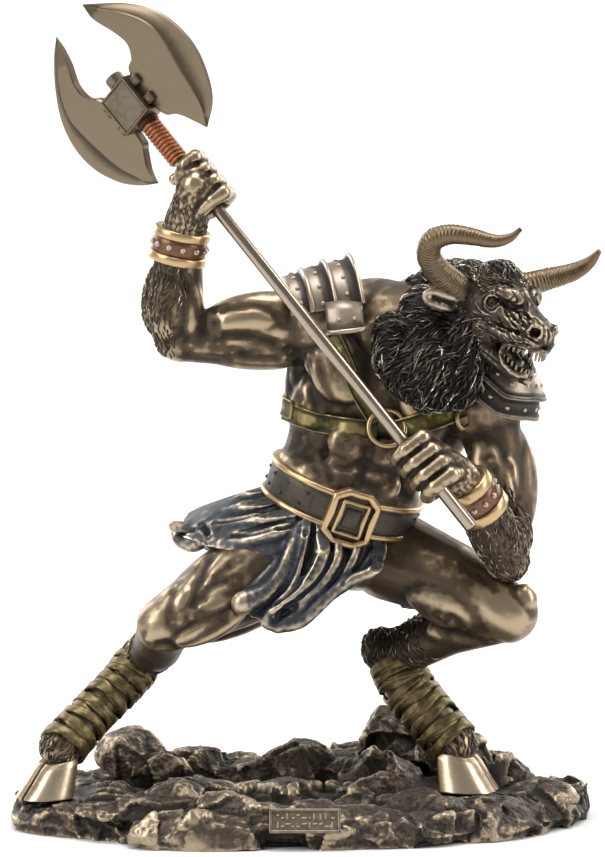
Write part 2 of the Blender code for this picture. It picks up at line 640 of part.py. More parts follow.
def make_figure():
    """The minotaur, cast in one piece with its armour, belt and loincloth."""
    clay = Clay()
    torso(clay)
    neck_and_mane(clay)
    harness(clay)
    skull(clay)
    horns(clay)
    arms(clay)
    toward = Vector((0, -1, 0))
    fist(clay, RIGHT_GRIP, RIGHT_WRIST, toward + BLADE_SIDE * 0.1, 8.2, 1)
    fist(clay, LEFT_GRIP, LEFT_WRIST, toward + BLADE_SIDE * 0.5, 6.8, -1)
    legs(clay)
    hoof(clay, RIGHT_FETLOCK, RIGHT_TOE, RIGHT_FOOT)
    hoof(clay, LEFT_FETLOCK, LEFT_TOE, LEFT_FOOT, 1.12)
    wraps(clay, at(-63.5, 3, 52), at(-86, -11, 30), 7.6, 7.9, 1)
    wraps(clay, at(35.5, 9.5, 50), at(52, 3.5, 30.5), 9.6, 8.5, -1)
    belt(clay)
    cuffs(clay)
    armour(clay)
    cloth(clay)
    figure = clay.fused("minotaur_figure", FIGURE_GRAIN, 2)
    thin(figure, FIGURE_KEEP)
    cut(figure, axe_line("shaft_bore", SHAFT_DIAMETER / 2 + SHAFT_CLEARANCE))
    cut(figure, ground_box("hoof_cut", PAD_HEIGHT + SEAT_GAP))
    sleeve_end = AXE_TOP - AXE_AXIS * (SOCKET_HEIGHT / 2 + SLEEVE_LENGTH + SHAFT_CLEARANCE)
    sleeve_space = SLEEVE_DIAMETER / 2 + CORD_DIAMETER / 2 + SHAFT_CLEARANCE
    cut(figure, rod("sleeve_space", sleeve_end, AXE_TOP, sleeve_space, 20))
    finish(figure, BRONZE)


def make_shaft():
    """The plain rod, from its butt into the axe head's sleeve."""
    top = AXE_TOP - AXE_AXIS * SOCKET_HEIGHT / 4
    shaft = rod("axe_shaft", SHAFT_BUTT, top, SHAFT_DIAMETER / 2, 20)
    finish(shaft, BLADE)


def blade(side):
    """One blade: flat cheeks from the socket out, ground to a thin curved edge."""
    inner = (
        (16.0, -27.0), (14.4, -21.0), (10.4, -15.5), (6.0, -11.0), (3.0, 0.0), (6.0, 9.5),
        (11.8, 12.2), (14.6, 18.6), (12.7, 25.2), (9.8, 32.6), (9.0, 39.6),
    )
    edge = (
        (16.0, -27.0), (20.5, -25.2), (24.6, -22.0), (30.2, -15.6), (34.4, -5.3), (35.5, 5.5),
        (32.6, 16.5), (28.0, 23.5), (22.0, 29.6), (15.5, 35.0), (9.0, 39.6),
    )
    wide, tall = AXE_SPAN / 71.0, AXE_HEIGHT / 66.6
    section = ((0.0, BLADE_THICKNESS), (0.70, BLADE_THICKNESS * 0.8), (1.0, EDGE_THICKNESS))
    front, back = [], []
    for (x0, y0), (x1, y1) in zip(inner, edge):
        for rows, face in ((front, 1), (back, -1)):
            row = []
            for share, thickness in section:
                x, y = x0 + (x1 - x0) * share, y0 + (y1 - y0) * share
                tip = min(1.0, 0.25 + math.hypot(x1 - x0, y1 - y0) / 8)
                place = BLADE_SIDE * (x * wide * side) + AXE_AXIS * (y * tall)
                normal = AXE_AXIS.cross(BLADE_SIDE) * (thickness * tip / 2 * face)
                row.append(AXE_TOP + place + normal)
            rows.append(row)
    mesh = bmesh.new()
    loops = [[mesh.verts.new(p) for p in f + b[::-1]] for f, b in zip(front[1:-1], back[1:-1])]
    tips = [mesh.verts.new((front[k][0] + back[k][0]) / 2) for k in (0, -1)]
    for this, following in zip(loops, loops[1:]):
        for k in range(6):
            n = (k + 1) % 6
            mesh.faces.new((this[k], this[n], following[n], following[k]))
    for tip, loop in zip(tips, (loops[0], loops[-1])):
        for k in range(6):
            mesh.faces.new((loop[k], loop[(k + 1) % 6], tip))
    bmesh.ops.recalc_face_normals(mesh, faces=mesh.faces)
    return mesh_object("blade_right" if side > 0 else "blade_left", mesh)


def bound_sleeve(bottom):
    """The sleeve under the socket: a collar, then rounds of cord, turned in one piece."""
    turn = frame_along(-AXE_AXIS, BLADE_SIDE)
    core, bulge = SLEEVE_DIAMETER / 2, CORD_DIAMETER / 2
    profile = [(core + bulge * 1.3, -0.002), (core + bulge * 1.3, 0.0018)]
    rounds = max(2, int((SLEEVE_LENGTH - 0.0022) / CORD_DIAMETER))
    for k in range(rounds):
        start = 0.0022 + CORD_DIAMETER * k
        profile.extend(((core, start), (core + bulge * 0.8, start + CORD_DIAMETER / 2)))
    profile.append((core, SLEEVE_LENGTH))
    mesh = bmesh.new()
    rows = []
    for radius, along in profile:
        rows.append([
            mesh.verts.new(bottom + turn @ Vector((math.cos(a) * radius, math.sin(a) * radius, along)))
            for a in (math.tau * i / 12 for i in range(12))
        ])
    for this, following in zip(rows, rows[1:]):
        for k in range(12):
            n = (k + 1) % 12
            mesh.faces.new((this[k], this[n], following[n], following[k]))
    mesh.faces.new(rows[0][::-1])
    mesh.faces.new(rows[-1])
    bmesh.ops.recalc_face_normals(mesh, faces=mesh.faces)
    return mesh_object("sleeve", mesh)


def make_axe_head():
    """The socket with its two blades, four lugs, finial and cord-bound sleeve."""
    turn = frame_along(AXE_AXIS, BLADE_SIDE)
    axe = block("axe_head", AXE_TOP, turn, (SOCKET_WIDTH, SOCKET_DEPTH, SOCKET_HEIGHT))
    soften = axe.modifiers.new("soften", "BEVEL")
    soften.width = 0.0008
    soften.segments = 1
    for side in (-1, 1):
        cut(axe, blade(side), "UNION")
        for level in (-1, 1):
            aside = BLADE_SIDE * side * (SOCKET_WIDTH / 2 + LUG_SIZE * 0.38)
            place = AXE_TOP + aside + AXE_AXIS * level * SOCKET_HEIGHT * 0.27
            size = (LUG_SIZE, BLADE_THICKNESS + LUG_RISE * 2, LUG_SIZE)
            cut(axe, block(f"lug_{side + 1}_{level + 1}", place, turn, size), "UNION")
    top = AXE_TOP + AXE_AXIS * SOCKET_HEIGHT / 2
    finial = rod("finial", top - AXE_AXIS * 0.002, top + AXE_AXIS * FINIAL_LENGTH, FINIAL_DIAMETER / 2, 12)
    cut(axe, finial, "UNION")
    bottom = AXE_TOP - AXE_AXIS * SOCKET_HEIGHT / 2
    cut(axe, bound_sleeve(bottom), "UNION")
    bore_end = AXE_TOP - AXE_AXIS * (SOCKET_HEIGHT / 4 - SHAFT_CLEARANCE)
    bore_radius = SHAFT_DIAMETER / 2 + SHAFT_CLEARANCE
    cut(axe, rod("sleeve_bore", bottom - AXE_AXIS * (SLEEVE_LENGTH + 0.01), bore_end, bore_radius, 20))
    finish(axe, BLADE)


def base_outline(count):
    """Points round the base's broken rim, counter-clockwise from the left, as shares of its half-sizes."""
    corners = (
        (-105.9, -8), (-99, -26), (-84, -36), (-68, -40), (-56, -54), (-37, -59.5), (-22, -61), (-13, -54.5),
        (10, -55), (30, -56), (47, -53.5), (61, -44), (77, -38), (92, -22), (105.9, 3), (99, 25), (78, 41),
        (50, 55), (18, 60), (-20, 61), (-52, 53), (-82, 41), (-100, 17), (-105.9, -8),
    )
    path = smooth_path([Vector((x / 105.9, y / 61.0, 0)) for x, y in corners], count + 1)
    return [(max(-1, min(1, p.x)), max(-1, min(1, p.y))) for p in path[:-1]]


def slab(clay):
    """The base's body: a wavy oval whose sides slope in a little to the top."""
    ledge = PAD_HEIGHT + STANDING_LEDGE
    levels = ((1.0, -0.004), (1.0, 0.0), (1.02, RIM_HEIGHT * 0.45), (0.95, RIM_HEIGHT), (0.87, ledge))
    rows = []
    for inset, level in levels:
        rows.append([
            clay.mesh.verts.new((x * BASE_LENGTH / 2 * inset, y * BASE_DEPTH / 2 * inset, level))
            for x, y in base_outline(92)
        ])
    clay.quads(rows, False, True)
    clay.mesh.faces.new(rows[0][::-1])
    clay.mesh.faces.new(rows[-1])


def rock(clay, seed, x, y, size, top, flat=1.0):
    """An angular stone: the hull of points scattered over a squashed ball, standing on the base.

    x and y are for a base as long and deep as the drawn one, and stretch with the real one.
    """
    draw = random.Random(seed)
    x *= BASE_LENGTH / mm(DRAWN_LENGTH)
    y *= BASE_DEPTH / mm(DRAWN_DEPTH)
    long, deep = size
    stone = bmesh.new()
    sink = 14.0 if flat < 1 else 5.0
    height = (top - DRAWN_PAD) + sink
    for _ in range(15):
        turn, rise = draw.uniform(0, math.tau), draw.uniform(-0.6, 1.0)
        spread = math.sqrt(max(0.05, 1 - rise * rise * flat))
        offset = (math.cos(turn) * long * spread, math.sin(turn) * deep * spread)
        level = DRAWN_PAD - sink + height * (rise + 0.6) / 1.6
        stone.verts.new(at(x + offset[0], y + offset[1], level))
    found = bmesh.ops.convex_hull(stone, input=stone.verts)
    loose = [v for v in found["geom_interior"] if isinstance(v, bmesh.types.BMVert)]
    bmesh.ops.delete(stone, geom=loose, context="VERTS")
    clay.add(stone)


def rocks(clay):
    """The outcrops behind the hooves, between them, and the flat ledges at the front."""
    outcrops = (
        (1, -62, 20, (14, 12), 30), (2, -50, 12, (12, 10), 24), (3, -38, 24, (16, 14), 24),
        (4, -22, 18, (17, 14), 20), (5, -3, 22, (18, 16), 25), (6, 18, 20, (16, 15), 22),
        (7, 30, 10, (15, 13), 26), (8, 42, 26, (20, 16), 36), (9, 34, 30, (12, 12), 40),
        (10, 60, 24, (16, 14), 26), (11, 74, 10, (12, 12), 21), (12, 24, -12, (15, 11), 18),
        (13, -8, -12, (20, 12), 15), (14, -40, -16, (20, 12), 17), (15, -30, -36, (20, 12), 16),
        (16, 44, -30, (22, 13), 16), (17, 70, -24, (18, 12), 15), (18, 4, -40, (14, 8), 14),
        (19, -64, -38, (18, 10), 13), (20, 88, -4, (13, 16), 14), (21, -86, 14, (12, 18), 15),
        (22, 20, 42, (26, 12), 22), (23, -34, 42, (28, 12), 18), (24, 66, 38, (18, 10), 17),
    )
    for seed, x, y, size, top in outcrops:
        rock(clay, seed, x, y, size, top)
    draw = random.Random(5)
    placed = 0
    while placed < 44:
        x, y = draw.uniform(-0.82, 0.82), draw.uniform(-0.80, 0.80)
        spot = Vector((x * BASE_LENGTH / 2, y * BASE_DEPTH / 2, PAD_HEIGHT))
        size = draw.uniform(7, 13)
        near = min((spot - foot).length for foot in (RIGHT_FOOT, LEFT_FOOT))
        if x * x + y * y > 0.75 or near < mm(11 + size):
            continue
        front_heap = 3.0 if -0.6 < x < 0.1 and y < -0.4 else 0
        rise = draw.uniform(1.5, 4.5) + front_heap
        x, y = x * DRAWN_LENGTH / 2, y * DRAWN_DEPTH / 2
        rock(clay, 200 + placed, x, y, (size, size * 0.8), DRAWN_PAD + rise)
        placed += 1
    for k, (x, y) in enumerate(base_outline(38)):
        size = draw.uniform(6, 12)
        x *= DRAWN_LENGTH / 2 - size * 0.93
        y *= DRAWN_DEPTH / 2 - size * 0.93
        rock(clay, 100 + k, x, y, (size, size), draw.uniform(10.0, 15.5), 0.5)


def leg_space(name, points):
    """The room that a leg takes, with its clearance: the hull of balls along it down to the pad."""
    mesh = bmesh.new()
    for point, radius in points:
        place = Matrix.Translation(point)
        reach = mm(radius) + LEG_CLEARANCE
        bmesh.ops.create_icosphere(mesh, subdivisions=2, radius=reach, matrix=place)
    for v in mesh.verts:
        v.co.z = max(v.co.z, PAD_HEIGHT)
    found = bmesh.ops.convex_hull(mesh, input=mesh.verts)
    loose = [v for v in found["geom_interior"] if isinstance(v, bmesh.types.BMVert)]
    bmesh.ops.delete(mesh, geom=loose, context="VERTS")
    bmesh.ops.recalc_face_normals(mesh, faces=mesh.faces)
    return mesh_object(name, mesh)


def make_base():
    """The rock base with the name plate's blank panel cast on its front."""
    clay = Clay()
    slab(clay)
    rocks(clay)
    base = clay.fused("rock_base", ROCK_GRAIN)
    for name, fetlock, foot, toe, hock in (
        ("right_leg_space", RIGHT_FETLOCK, RIGHT_FOOT, RIGHT_TOE, RIGHT_HOCK),
        ("left_leg_space", LEFT_FETLOCK, LEFT_FOOT, LEFT_TOE, LEFT_HOCK),
    ):
        aside = UP.cross(toe)
        foot_points = [(foot + toe * mm(f) + aside * mm(a), 5.5) for f in (-4, 9) for a in (-7.5, 7.5)]
        cut(base, leg_space(name, [*foot_points, (fetlock, 10), (fetlock.lerp(hock, 0.6), 10)]))
    settle = base.modifiers.new("settle", "REMESH")
    settle.mode = "VOXEL"
    settle.voxel_size = ROCK_GRAIN
    thin(base, ROCK_KEEP)
    middle = UP * FIGURE_HEIGHT / 2
    extent = block("base_extent", middle, Matrix.Identity(3), (BASE_LENGTH, BASE_DEPTH, FIGURE_HEIGHT))
    cut(base, extent, "INTERSECT")
    turn = Matrix.Rotation(math.radians(-12), 3, "X")
    plate_place = Vector((mm(1.7), -BASE_DEPTH / 2 + mm(4.4), RIM_HEIGHT + mm(1.1)))
    root_place = plate_place + Vector((0, mm(4.0), -PLATE_HEIGHT * 0.3))
    root_size = (PLATE_LENGTH * 0.8, mm(9.0), PLATE_HEIGHT * 0.5)
    cut(base, block("plate_root", root_place, Matrix.Identity(3), root_size), "UNION")
    cut(base, block("plate", plate_place, turn, (PLATE_LENGTH, PLATE_THICKNESS, PLATE_HEIGHT)), "UNION")
    finish(base, STONE)


def clear_scene():
    """Removes what the start-up scene holds."""
    for obj in list(bpy.data.objects):
        bpy.data.objects.remove(obj)


clear_scene()
make_figure()
make_base()
make_axe_head()
make_shaft()
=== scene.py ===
# %% [markdown]
# # A cast minotaur
# The statue is a cold-cast bronze resin figure, about 295 mm tall, that lunges over a rocky base. The
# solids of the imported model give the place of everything. This script dresses them: carved muscle, hair,
# cloth and rock, in the dark and bright bronze that such castings are painted and rubbed with. First comes
# the frame. Its nodes arrive selected, so everything is deselected before anything new is made. The noise
# that combs the hair starts from the clock unless it gets a seed, so it gets one.

# %% Load the frame
import json
import math
import random

import bmesh
import bpy
import numpy as np
from mathutils import Matrix, Vector, noise
from mathutils.bvhtree import BVHTree
from mathutils.kdtree import KDTree

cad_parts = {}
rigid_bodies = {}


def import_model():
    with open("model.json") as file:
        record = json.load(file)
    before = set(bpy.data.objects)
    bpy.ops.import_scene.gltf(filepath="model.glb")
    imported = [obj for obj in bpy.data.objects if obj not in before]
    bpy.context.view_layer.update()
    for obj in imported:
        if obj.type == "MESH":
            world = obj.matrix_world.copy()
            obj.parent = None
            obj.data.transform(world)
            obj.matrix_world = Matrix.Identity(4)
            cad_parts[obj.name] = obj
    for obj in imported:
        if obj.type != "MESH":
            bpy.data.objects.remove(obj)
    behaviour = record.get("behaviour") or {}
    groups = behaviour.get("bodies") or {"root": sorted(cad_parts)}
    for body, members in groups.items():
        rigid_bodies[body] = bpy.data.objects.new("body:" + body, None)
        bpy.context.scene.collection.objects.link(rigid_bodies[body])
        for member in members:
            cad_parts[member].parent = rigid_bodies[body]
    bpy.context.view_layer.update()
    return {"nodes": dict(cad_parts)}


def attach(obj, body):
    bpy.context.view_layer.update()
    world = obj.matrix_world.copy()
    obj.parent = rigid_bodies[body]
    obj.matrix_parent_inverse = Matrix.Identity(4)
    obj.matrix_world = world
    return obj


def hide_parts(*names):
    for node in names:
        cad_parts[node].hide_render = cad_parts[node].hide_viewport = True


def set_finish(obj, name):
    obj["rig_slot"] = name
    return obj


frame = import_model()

noise.seed_set(7)
bpy.ops.object.select_all(action="DESELECT")
print("frame nodes", sorted(frame["nodes"]))

# %% [markdown]
# ## Camera
# The photograph looks down a little on a statue that fills its frame, from a good metre away. A long lens
# with its sensor fitted to the tall side gives the same picture.

# %% Camera
EYE = Vector((0, -1.2940, 0.2666))
AIM = Vector((0, 0, 0.142))
LENS = 151.7
SENSOR = 36.0
PICTURE = (605, 857)

bpy.ops.object.camera_add(location=EYE, rotation=(AIM - EYE).to_track_quat("-Z", "Y").to_euler())
camera = bpy.context.object
camera.data.sensor_fit = "VERTICAL"
camera.data.sensor_height = SENSOR
camera.data.lens = LENS
bpy.context.scene.camera = camera


def sight(x, y):
    """The direction from the camera through a pixel of the picture."""
    ahead = (AIM - EYE).normalized()
    right = ahead.cross(Vector((0, 0, 1))).normalized()
    up = right.cross(ahead)
    unit = SENSOR / LENS / PICTURE[1]
    return (ahead + right * (x - PICTURE[0] / 2) * unit + up * (PICTURE[1] / 2 - y) * unit).normalized()


# %% [markdown]
# ## Studio
# A pale sweep runs from under the statue up behind it, so no horizon shows. It is a row of points bent
# through a quarter circle and extruded sideways. Large soft lights stand at both sides and overhead. The
# camera's side stays darker, which gives dark bronze its contrast.

# %% Sweep and lights
bpy.ops.mesh.primitive_plane_add(size=1)
sweep = bpy.context.object
sweep.name = "studio_sweep"
bpy.ops.object.mode_set(mode="EDIT")
bpy.ops.mesh.delete(type="ONLY_FACE")
bpy.ops.object.mode_set(mode="OBJECT")
FLAT_END, BEND = 0.9, 0.8
profile = [(-2.5, 0.0), (FLAT_END, 0.0)]
for a in np.linspace(0.1, math.pi / 2, 16):
    profile.append((FLAT_END + BEND * math.sin(a), BEND - BEND * math.cos(a)))
profile.append((FLAT_END + BEND, 3.0))
points = [(x, y, z) for y, z in profile for x in (-3.0, 3.0)]
faces = [(2 * i, 2 * i + 1, 2 * i + 3, 2 * i + 2) for i in range(len(profile) - 1)]
sweep.data.clear_geometry()
sweep.data.from_pydata(points, [], faces)
sweep.data.shade_smooth()

for name, place, size, power, colour in (
    ("left_soft", (-1.5, -0.8, 1.1), (0.7, 1.5), 26, (1.0, 0.99, 0.97)),
    ("right_soft", (1.5, -0.5, 0.9), (0.6, 1.5), 18, (1.0, 0.98, 0.95)),
    ("top_soft", (0.0, -0.1, 1.7), (1.0, 0.8), 22, (1.0, 1.0, 1.0)),
    ("back_left", (-1.0, 1.1, 0.8), (0.7, 1.2), 12, (1.0, 1.0, 1.0)),
    ("back_right", (1.0, 1.1, 0.8), (0.7, 1.2), 12, (1.0, 1.0, 1.0)),
):
    aim = (Vector((0, 0, 0.13)) - Vector(place)).to_track_quat("-Z", "Y").to_euler()
    bpy.ops.object.light_add(type="AREA", location=place, rotation=aim)
    lamp = bpy.context.object
    lamp.name = name
    lamp.data.shape = "RECTANGLE"
    lamp.data.size, lamp.data.size_y = size
    lamp.data.energy = power
    lamp.data.color = colour

world = bpy.data.worlds.new("studio")
bpy.context.scene.world = world
world.use_nodes = True
world.node_tree.nodes["Background"].inputs["Color"].default_value = (1, 1, 1, 1)
world.node_tree.nodes["Background"].inputs["Strength"].default_value = 0.28
bpy.context.scene.view_settings.view_transform = "Standard"

# %% [markdown]
# ## The pose, in millimetres
# Every joint is a point over the base: x to the viewer's right, y away, z up. "Right" and "left" are the
# figure's own. The axe lies on one line through both fists.

# %% Pose
UP = Vector((0, 0, 1))
MM = 0.001


def at(x, y, z):
    """A point given in millimetres."""
    return Vector((x, y, z)) * MM


CHEST = at(29, 6, 157)
PELVIS = at(16, 4, 101)
WAIST = at(12.8, 2, 113)
RIGHT_SHOULDER, RIGHT_ELBOW, RIGHT_WRIST = at(4, 0, 181), at(-44, -2, 175), at(-43.5, -7, 209)
LEFT_SHOULDER, LEFT_ELBOW, LEFT_WRIST = at(65, -5, 150), at(73, -17, 97), at(58.5, -35, 124)
RIGHT_HIP, RIGHT_KNEE, RIGHT_HOCK = at(0, -3, 99), at(-49, -24, 74), at(-58, 6, 58)
LEFT_HIP, LEFT_KNEE, LEFT_HOCK = at(32, 5, 95.5), at(74, -14, 77), at(33, 11, 58)
RIGHT_FETLOCK, RIGHT_FOOT = at(-87, -12, 28), at(-91.5, -15, 10.4)
LEFT_FETLOCK, LEFT_FOOT = at(55.5, 2, 26), at(58.5, -1, 10.4)
RIGHT_TOE, LEFT_TOE = Vector((-0.82, -0.57, 0)).normalized(), Vector((0.95, -0.31, 0)).normalized()
CROWN = at(68, -16, 192)

AXE_TOP, SHAFT_BUTT = at(-60.3, 2, 258.5), at(58.7, -52, 112.4)
AXE_AXIS = (AXE_TOP - SHAFT_BUTT).normalized()
BLADE_SIDE = Vector((0.546, -0.540, 0.641))
BLADE_SIDE = (BLADE_SIDE - BLADE_SIDE.dot(AXE_AXIS) * AXE_AXIS).normalized()
RIGHT_GRIP = AXE_TOP - AXE_AXIS * 39.8 * MM
LEFT_GRIP = SHAFT_BUTT + AXE_AXIS * 26.6 * MM

MUZZLE = Vector((0.58, -0.72, -0.38)).normalized()
HEAD_LEFT = Vector((0.77, 0.62, -0.06))
HEAD_LEFT = (HEAD_LEFT - HEAD_LEFT.dot(MUZZLE) * MUZZLE).normalized()
HEAD_UP = MUZZLE.cross(HEAD_LEFT).normalized()

BELT_CENTRE = at(14.5, 2, 117.3)
BELT_SIDE = Vector((0.945, 0, -0.327)).normalized()
BELT_FRONT = Vector((0, -1, -0.16))
BELT_FRONT = (BELT_FRONT - BELT_FRONT.dot(BELT_SIDE) * BELT_SIDE).normalized()
BELT_AXIS = BELT_FRONT.cross(BELT_SIDE)
BELT_REACH, BELT_DEPTH = 27.3 * MM, 23.0 * MM


def head(forward, left, up):
    """A point by its place from the crown, along the head's own axes, in millimetres."""
    return CROWN + (MUZZLE * forward + HEAD_LEFT * left + HEAD_UP * up) * MM


def around_belt(angle, out=0.0, up=0.0):
    """A point in millimetres from the belt's ellipse. Angle 0 faces the viewer and 90 the figure's left."""
    turn = math.radians(angle)
    side = BELT_SIDE * math.sin(turn) * (BELT_REACH + out * MM)
    front = BELT_FRONT * math.cos(turn) * (BELT_DEPTH + out * MM)
    return BELT_CENTRE + side + front + BELT_AXIS * up * MM


def seen_at(x, y, depth):
    """The point behind a pixel at a depth: depth is y in millimetres."""
    way = sight(x, y)
    return EYE + way * ((depth * MM - EYE.y) / way.y)


# %% [markdown]
# ## Clay
# A sculptor presses balls and sausages of clay together and smooths them. The same works here: spindles for
# muscles and tapered lengths for bones are gathered in one mesh, a voxel remesh fuses them into one skin,
# and a few rounds of smoothing settle it. There are hundreds of lumps, so they are made in bmesh rather
# than one at a time with primitives.

# %% Clay tools
def frame_along(direction, side=UP):
    """A rotation whose Z lies along direction and whose X lies as near side as it can."""
    z = Vector(direction).normalized()
    x = Vector(side) - Vector(side).dot(z) * z
    if x.length < 1e-6:
        x = z.orthogonal()
    x.normalize()
    return Matrix((x, z.cross(x), z)).transposed()


def smooth_path(points, count):
    """Points along a curve through the given ones."""
    points = [Vector(p) for p in points]
    ends = [points[0] * 2 - points[1], *points, points[-1] * 2 - points[-2]]
    found = []
    for i in range(count):
        place = i / (count - 1) * (len(points) - 1)
        k = min(int(place), len(points) - 2)
        t = place - k
        a, b, c, d = ends[k : k + 4]
        curve = b * 2 + (c - a) * t + (a * 2 - b * 5 + c * 4 - d) * t**2 + (b * 3 - a - c * 3 + d) * t**3
        found.append(curve / 2)
    return found


def spoke(turn, angle, across=1.0, along=1.0, rise=0.0):
    """A point of an ellipse in a turned frame, by its angle in radians, its half-sizes and its height."""
    return turn @ Vector((math.cos(angle) * across, math.sin(angle) * along, rise))


def linked(name, data):
    """An object for a mesh, in the scene."""
    made = bpy.data.objects.new(name, data)
    bpy.context.scene.collection.objects.link(made)
    return made


def new_object(name, mesh):
    """A linked object from a bmesh, which is freed."""
    data = bpy.data.meshes.new(name)
    mesh.to_mesh(data)
    mesh.free()
    return linked(name, data)


def object_of(name, points, faces):
    """A linked object from lists of points and faces."""
    data = bpy.data.meshes.new(name)
    data.from_pydata([tuple(p) for p in points], [], faces)
    return linked(name, data)


def mesh_of(obj):
    """An editable copy of the object's mesh."""
    mesh = bmesh.new()
    mesh.from_mesh(obj.data)
    return mesh


def outward(obj):
    """Turns every face of a piece outward."""
    mesh = mesh_of(obj)
    bmesh.ops.recalc_face_normals(mesh, faces=mesh.faces)
    mesh.to_mesh(obj.data)
    mesh.free()


def apply_all(obj):
    """Applies the object's modifiers, as by hand."""
    bpy.ops.object.select_all(action="DESELECT")
    obj.select_set(True)
    bpy.context.view_layer.objects.active = obj
    for modifier in list(obj.modifiers):
        bpy.ops.object.modifier_apply(modifier=modifier.name)


def thin_to(obj, count):
    """Thins a dense mesh to about a count of triangles, which leaves the detail and saves the plain parts."""
    triangles = sum(len(p.vertices) - 2 for p in obj.data.polygons)
    if triangles > count:
        obj.modifiers.new("thin", "DECIMATE").ratio = count / triangles
        apply_all(obj)


def softened(obj, width, segments=2):
    """Rounds the object's edges by a width in millimetres."""
    edge = obj.modifiers.new("soften", "BEVEL")
    edge.width = width * MM
    edge.segments = segments
    apply_all(obj)
    return obj


def block(name, size, soft, segments, place):
    """A box with rounded edges, size in millimetres. place turns three of its numbers into a point."""
    mesh = bmesh.new()
    bmesh.ops.create_cube(mesh, size=1)
    for v in mesh.verts:
        v.co = place(*(v.co[i] * size[i] for i in range(3)))
    return softened(new_object(name, mesh), soft, segments)


def grid_piece(name, rows, close_rows=False):
    """A mesh over rows of points."""
    mesh = bmesh.new()
    verts = [[mesh.verts.new(p) for p in row] for row in rows]
    for i in range(len(verts) if close_rows else len(verts) - 1):
        this, following = verts[i], verts[(i + 1) % len(verts)]
        for k in range(len(this)):
            n = (k + 1) % len(this)
            mesh.faces.new((this[k], this[n], following[n], following[k]))
    if not close_rows:
        mesh.faces.new(verts[0][::-1])
        mesh.faces.new(verts[-1])
    bmesh.ops.recalc_face_normals(mesh, faces=mesh.faces)
    return new_object(name, mesh)


def joined(name, pieces):
    """One object from several."""
    bpy.ops.object.select_all(action="DESELECT")
    for piece in pieces:
        piece.select_set(True)
    bpy.context.view_layer.objects.active = pieces[0]
    bpy.ops.object.join()
    pieces[0].name = name
    return pieces[0]


def hull_only(mesh):
    """Wraps loose points in their hull and drops those inside it."""
    found = bmesh.ops.convex_hull(mesh, input=mesh.verts)
    loose = [v for v in found["geom_interior"] if isinstance(v, bmesh.types.BMVert)]
    bmesh.ops.delete(mesh, geom=loose, context="VERTS")


# %% [markdown]
# A lump is a ball, a spindle or a limb that tapers from stop to stop. `fused` turns a gathering of lumps
# into one skin.

# %% Clay
class Clay:
    """Closed lumps pressed together. Radii are in millimetres."""

    def __init__(self):
        self.mesh = bmesh.new()

    def ball(self, centre, radii, along=UP, side=(1, 0, 0), fine=3):
        turn = frame_along(along, side).to_4x4()
        size = Matrix.Diagonal((*(r * MM for r in radii), 1))
        place = Matrix.Translation(centre) @ turn @ size
        bmesh.ops.create_icosphere(self.mesh, subdivisions=fine, radius=1, matrix=place)

    def muscle(self, start, end, width, depth=None, facing=(0, -1, 0)):
        depth = width if depth is None else depth
        length = (end - start).length / MM / 2
        self.ball((start + end) / 2, (depth, width, length), end - start, facing)

    def limb(self, *stops):
        for (start, first), (end, last) in zip(stops, stops[1:]):
            hull = bmesh.new()
            for point, radius in ((start, first), (end, last)):
                place = Matrix.Translation(point)
                bmesh.ops.create_icosphere(hull, subdivisions=3, radius=radius * MM, matrix=place)
            hull_only(hull)
            self.add(hull)

    def add(self, other):
        bmesh.ops.recalc_face_normals(other, faces=other.faces)
        copied = {v: self.mesh.verts.new(v.co) for v in other.verts}
        for face in other.faces:
            self.mesh.faces.new([copied[v] for v in face.verts])
        other.free()

    def take(self, piece):
        """Presses a separate piece into the clay."""
        self.add(mesh_of(piece))
        bpy.data.objects.remove(piece)

    def fused(self, name, grain, rounds=3):
        bmesh.ops.recalc_face_normals(self.mesh, faces=self.mesh.faces)
        obj = new_object(name, self.mesh)
        fuse = obj.modifiers.new("fuse", "REMESH")
        fuse.mode = "VOXEL"
        fuse.voxel_size = grain * MM
        settle = obj.modifiers.new("settle", "SMOOTH")
        settle.factor = 0.5
        settle.iterations = rounds
        apply_all(obj)
        drop_specks(obj)
        return obj


def drop_specks(obj, least=400):
    """Removes bodies of fewer vertices than least, which a voxel remesh can leave beside the largest."""
    mesh = mesh_of(obj)
    unseen = set(mesh.verts)
    bodies = []
    while unseen:
        heap = [unseen.pop()]
        body = []
        while heap:
            vert = heap.pop()
            body.append(vert)
            for edge in vert.link_edges:
                other = edge.other_vert(vert)
                if other in unseen:
                    unseen.remove(other)
                    heap.append(other)
        bodies.append(body)
    bodies.sort(key=len)
    for body in bodies[:-1]:
        if len(body) < least:
            bmesh.ops.delete(mesh, geom=body, context="VERTS")
    mesh.to_mesh(obj.data)
    mesh.free()


# %% [markdown]
# ## Carving
# Grooves and cords are drawn on the fused skin. A stroke is a path, a width and a depth. Most are traced as
# the picture shows them and dropped onto the skin along the camera's line of sight, so each lies on the
# surface that carries it, seen from any side. A skin point near the stroke then moves in or out along its
# own normal.

# %% Carving tools
def rows_of(items, key, width, kind=float):
    """One value of every vertex or edge, as an array with a row for each."""
    found = np.empty(len(items) * width, dtype=kind)
    items.foreach_get(key, found)
    return found.reshape(-1, width)


def points_of(obj):
    """The vertices as an array."""
    return rows_of(obj.data.vertices, "co", 3)


def normals_of(obj):
    """The vertex normals as an array."""
    return rows_of(obj.data.vertices, "normal", 3)


def set_points(obj, points):
    """Moves the vertices."""
    obj.data.vertices.foreach_set("co", points.ravel())
    obj.data.update()


def neighbour_mean(points, edges, degree):
    """Each point's average over its neighbours."""
    total = np.zeros_like(points)
    for k in range(points.shape[1]):
        total[:, k] = np.bincount(edges[:, 0], points[edges[:, 1], k], len(points))
        total[:, k] += np.bincount(edges[:, 1], points[edges[:, 0], k], len(points))
    return total / degree


